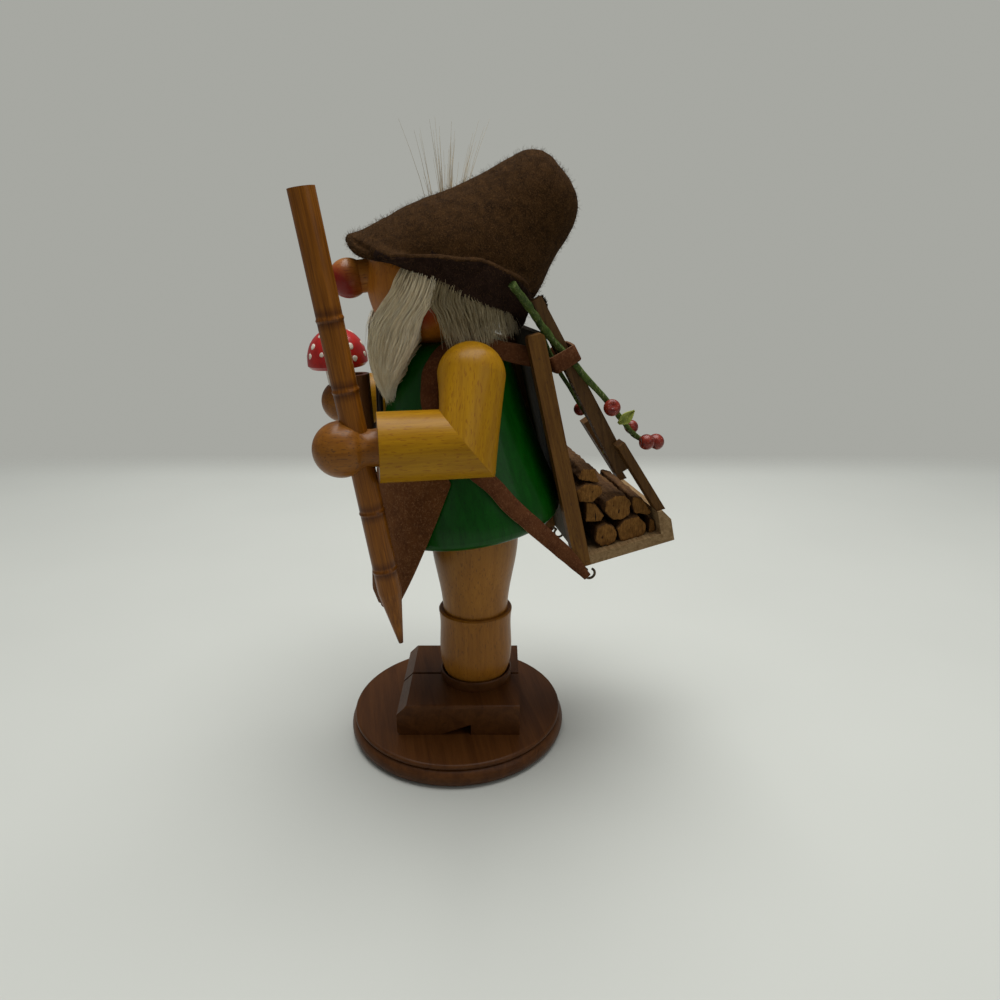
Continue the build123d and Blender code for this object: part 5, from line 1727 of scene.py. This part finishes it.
@dataclass(frozen=True)
class Greenery:
    """Twigs, berries, leaves and a small cone tied to the stake, at shares of the carrier's size."""

    twig_green: PlantFinish = PlantFinish(
        (0.06, 0.095, 0.014), (0.022, 0.045, 0.006), (0.3, 0.32, 0.15), Grain.RACK)
    near: tuple[Place, ...] = (
        (1.184, -0.17, 1.205), (0.768, 0.055, 1.044), (0.756, 0.192, 0.931), (0.744, 0.598, 0.653),
        (0.72, 0.808, 0.491), (0.696, 0.963, 0.434),
    )
    near_radius: float = 1.5
    near_taper: float = 0.12
    far: tuple[Place, ...] = ((0.376, 0.18, 1.04), (0.376, 0.163, 0.89), (0.376, 0.57, 0.445))
    far_radius: float = 0.9
    berries: tuple[tuple[Place, float], ...] = (
        ((0.86, 0.604, 0.634), 1.0), ((0.64, 0.815, 0.514), 0.86), ((0.848, 0.904, 0.451), 0.94),
        ((0.68, 1.045, 0.424), 1.0), ((0.28, 0.385, 0.62), 0.82),
    )
    berry_r: float = 3.1
    berry_crown: float = 0.82
    berry_dimple: float = 0.9
    leaf_green: PlantFinish = PlantFinish((0.3, 0.32, 0.06), (0.16, 0.2, 0.035), (0.5, 0.5, 0.22))
    leaves: tuple[tuple[Place, float], ...] = (
        ((0.824, 0.738, 0.579), -20.0), ((0.44, 0.506, 0.532), 35.0), ((0.44, 0.575, 0.45), 10.0),
    )
    leaf_length: float = 7.5
    leaf_width: float = 4.2
    leaf_thick: float = 0.35
    leaf_rows: int = 12
    leaf_columns: int = 6
    cone_brown: PlantFinish = PlantFinish((0.06, 0.045, 0.028), (0.025, 0.018, 0.012), (0.14, 0.1, 0.06))
    cone_length: float = 7.0
    cone_r: float = 2.6
    cone_scales: int = 58
    scale_length: float = 0.75
    scale_rise: float = 0.9

    def build(self) -> None:
        """Builds and dresses all greenery."""
        green = self.twig_green.make("twig_green")
        near = [CARRIER.share(*share) for share in self.near]
        far = [CARRIER.share(*share) for share in self.far]
        radii = [self.near_radius - self.near_taper * step for step in range(len(near))]
        Workshop.finish(Sweep.stem("near_stem", near, radii), "twig", [green], ("near_twig",), 60)
        radii = [self.far_radius] * len(far)
        Workshop.finish(Sweep.stem("far_stem", far, radii), "twig", [green], ("far_twig",), 60)
        self.build_berries()
        self.build_leaves()
        self.build_cone(far[0], (far[0] - far[1]).normalized())

    def build_berries(self) -> None:
        """Models one berry with its dimpled crown and copies it to each place at its size."""
        bpy.ops.object.select_all(action="DESELECT")
        bpy.ops.mesh.primitive_uv_sphere_add(segments=28, ring_count=18, radius=self.berry_r * MM)
        one = bpy.context.active_object
        for vertex in one.data.vertices:
            height = vertex.co.z / (self.berry_r * MM)
            crown = max(0.0, height - self.berry_crown) / (1 - self.berry_crown)
            vertex.co.z -= crown ** 1.5 * self.berry_dimple * MM
            swell = 1 + 0.05 * crown * math.cos(5 * math.atan2(vertex.co.y, vertex.co.x))
            vertex.co.x *= swell
            vertex.co.y *= swell
        copies = []
        for number, (share, size) in enumerate(self.berries):
            copy = Workshop.link(f"berry_{number}", one.data.copy())
            turn = Matrix.Rotation(1.1 + number * 1.7, 4, "Y") @ Matrix.Rotation(number * 0.9, 4, "X")
            copy.data.transform(Matrix.Translation(CARRIER.share(*share)) @ turn @ Matrix.Scale(size, 4))
            copies.append(copy)
        bpy.data.objects.remove(one)
        Workshop.select_only(copies[0])
        for copy in copies[1:]:
            copy.select_set(True)
        bpy.ops.object.join()
        fruit = bpy.context.active_object
        fruit.name = "red_berries"
        Workshop.finish(fruit, "berry", [BerryFinish().make("berry_skin")], ("berries",), 60)

    def build_leaves(self) -> None:
        """Builds the bent leaf blades, each folded along its midrib."""
        points, faces = [], []
        length, width = self.leaf_length * MM, self.leaf_width * MM
        along = (CARRIER.out_dir + CARRIER.up_dir).normalized()
        rows, columns = self.leaf_rows, self.leaf_columns
        for share, degrees in self.leaves:
            turn = Matrix.Rotation(math.radians(degrees), 3, SIDE)
            middle, ahead, over = CARRIER.share(*share), turn @ along, turn @ along.cross(SIDE)
            first = len(points)
            for row in range(rows + 1):
                t = row / rows
                half = width / 2 * math.sin(math.pi * min(0.97, max(0.04, t)) ** 0.8)
                for column in range(columns + 1):
                    x = 2 * column / columns - 1
                    lift = 0.25 * abs(x) * width + 0.12 * length * math.sin(math.pi * t) - 0.05 * length
                    points.append(middle + ahead * (t - 0.5) * length + over * x * half + SIDE * lift)
            for row in range(rows):
                for column in range(columns):
                    low = first + row * (columns + 1) + column
                    faces.append((low, low + 1, low + columns + 2, low + columns + 1))
        leaves = Workshop.from_faces("leaf_blades", points, faces)
        Workshop.shape(leaves, "SOLIDIFY", thickness=self.leaf_thick * MM, offset=0.0)
        Workshop.finish(leaves, "leaf", [self.leaf_green.make("leaf_green")], ("leaves",), 60)

    def build_cone(self, foot: Vector, axis: Vector) -> None:
        """Builds the small cone out of overlapping scales, each a golden angle round from the one before.

        Args:
            foot: The place where it starts, in metres.
            axis: The way that it points.
        """
        across = axis.cross(SIDE).normalized()
        over = axis.cross(across)
        points, faces = [], []
        for number in range(self.cone_scales):
            share = number / (self.cone_scales - 1)
            around = number * GOLDEN_ANGLE
            out = across * math.cos(around) + over * math.sin(around)
            turned = axis.cross(out)
            radius = self.cone_r * math.sin(math.pi * (0.08 + 0.9 * share)) ** 0.7 * 0.62
            root = foot + axis * self.cone_length * 0.93 * share * MM
            tip = root + (out * (radius + self.scale_length) + axis * self.scale_rise) * MM
            mid = root + out * radius * MM
            wide = (0.35 + 0.55 * math.sin(math.pi * share)) * MM
            first = len(points)
            points += [root, mid + turned * wide, tip + axis * 0.25 * MM, mid - turned * wide,
                       mid + axis * 0.75 * MM, tip - out * 0.15 * MM]
            for face in ((0, 1, 5, 3), (1, 2, 5), (5, 2, 3), (0, 4, 1), (1, 4, 2), (4, 3, 2), (0, 3, 4)):
                faces.append(tuple(first + corner for corner in face))
        cone = Workshop.from_faces("scaly_cone", points, faces)
        Workshop.face_out(cone)
        Workshop.finish(cone, "twig", [self.cone_brown.make("cone_brown")], ("small_cone",), 30)


@dataclass(frozen=True)
class Studio:
    """Plain floor, soft light and the camera at the photograph's angle.

    Each lamp is its name, its place and side in metres, and its power in watts.
    """

    camera_place: Place = (0.2737, 0.01815, 0.1911)
    camera_tilt: float = math.radians(71.74)
    lens: float = 26.36
    sensor: float = 36.0
    floor_middle: Place = (1.05, 0.0, 0.0)
    floor_size: tuple[float, float] = (3.0, 5.0)
    aim: Place = (0.0, 0.01, 0.11)
    lamps: tuple[tuple[str, Place, float, float], ...] = (
        ("top_light", (-0.1, 0.03, 0.95), 0.8, 11.0),
        ("window_light", (0.45, 0.6, 0.5), 0.45, 0.6),
        ("fill_light", (0.8, -0.5, 0.4), 0.7, 0.2),
    )
    even_light: float = 0.16
    backdrop: Colour = (0.385, 0.39, 0.36)

    def build(self) -> None:
        """Builds the camera, the floor, the lamps and the world."""
        scene = bpy.context.scene
        data = bpy.data.cameras.new("photo_camera")
        data.lens = self.lens
        data.sensor_width = self.sensor
        camera = bpy.data.objects.new("photo_camera", data)
        camera.location = self.camera_place
        camera.rotation_euler = (self.camera_tilt, 0, math.radians(90))
        scene.collection.objects.link(camera)
        scene.camera = camera
        bpy.ops.object.select_all(action="DESELECT")
        bpy.ops.mesh.primitive_grid_add(x_subdivisions=8, y_subdivisions=8, size=1)
        floor = bpy.context.active_object
        floor.name = "floor"
        spread = Matrix.Diagonal((*self.floor_size, 1, 1))
        floor.data.transform(Matrix.Translation(self.floor_middle) @ spread)
        floor.data.materials.append(StageFinish().make("pale_floor"))
        for lamp in self.lamps:
            self.add_lamp(*lamp)
        scene.view_settings.view_transform = "Standard"
        self.build_world(scene)

    def add_lamp(self, name: str, place: Place, size: float, power: float) -> None:
        """Adds a square soft lamp that looks at the figure's middle.

        Args:
            name: Its name.
            place: Where it hangs, in metres.
            size: Its side, in metres.
            power: Its power in watts.
        """
        data = bpy.data.lights.new(name, "AREA")
        data.size = size
        data.energy = power
        lamp = bpy.data.objects.new(name, data)
        lamp.location = place
        lamp.rotation_euler = (Vector(self.aim) - Vector(place)).to_track_quat("-Z", "Y").to_euler()
        bpy.context.scene.collection.objects.link(lamp)

    def build_world(self, scene: bpy.types.Scene) -> None:
        """Gives the world an even light, and the backdrop's colour where the camera sees it.

        Args:
            scene: The scene that it belongs to.
        """
        world = bpy.data.worlds.new("studio")
        world.use_nodes = True
        scene.world = world
        tree = world.node_tree
        light = tree.nodes["Background"]
        light.inputs["Color"].default_value = (*WHITE, 1)
        light.inputs["Strength"].default_value = self.even_light
        shown = tree.nodes.new("ShaderNodeBackground")
        shown.inputs["Color"].default_value = (*self.backdrop, 1)
        path = tree.nodes.new("ShaderNodeLightPath")
        mix = tree.nodes.new("ShaderNodeMixShader")
        tree.links.new(path.outputs["Is Camera Ray"], mix.inputs[0])
        tree.links.new(light.outputs[0], mix.inputs[1])
        tree.links.new(shown.outputs[0], mix.inputs[2])
        tree.links.new(mix.outputs[0], tree.nodes["World Output"].inputs["Surface"])


def main() -> None:
    """Builds every sub-assembly in order."""
    logging.basicConfig(level=logging.INFO, format="%(name)s: %(message)s")
    Studio().build()
    for part in (BaseAndLegs(), Figure(), Staff(), Mushroom(), Pipe()):
        part.dress()
    for part in (FeltHat(), BEARD, HAIR, Tuft(), Apron(), Straps(), Carrier(), Greenery()):
        part.build()
        LOG.info("%s built", type(part).__name__)


if __name__ == "__main__":
    main()
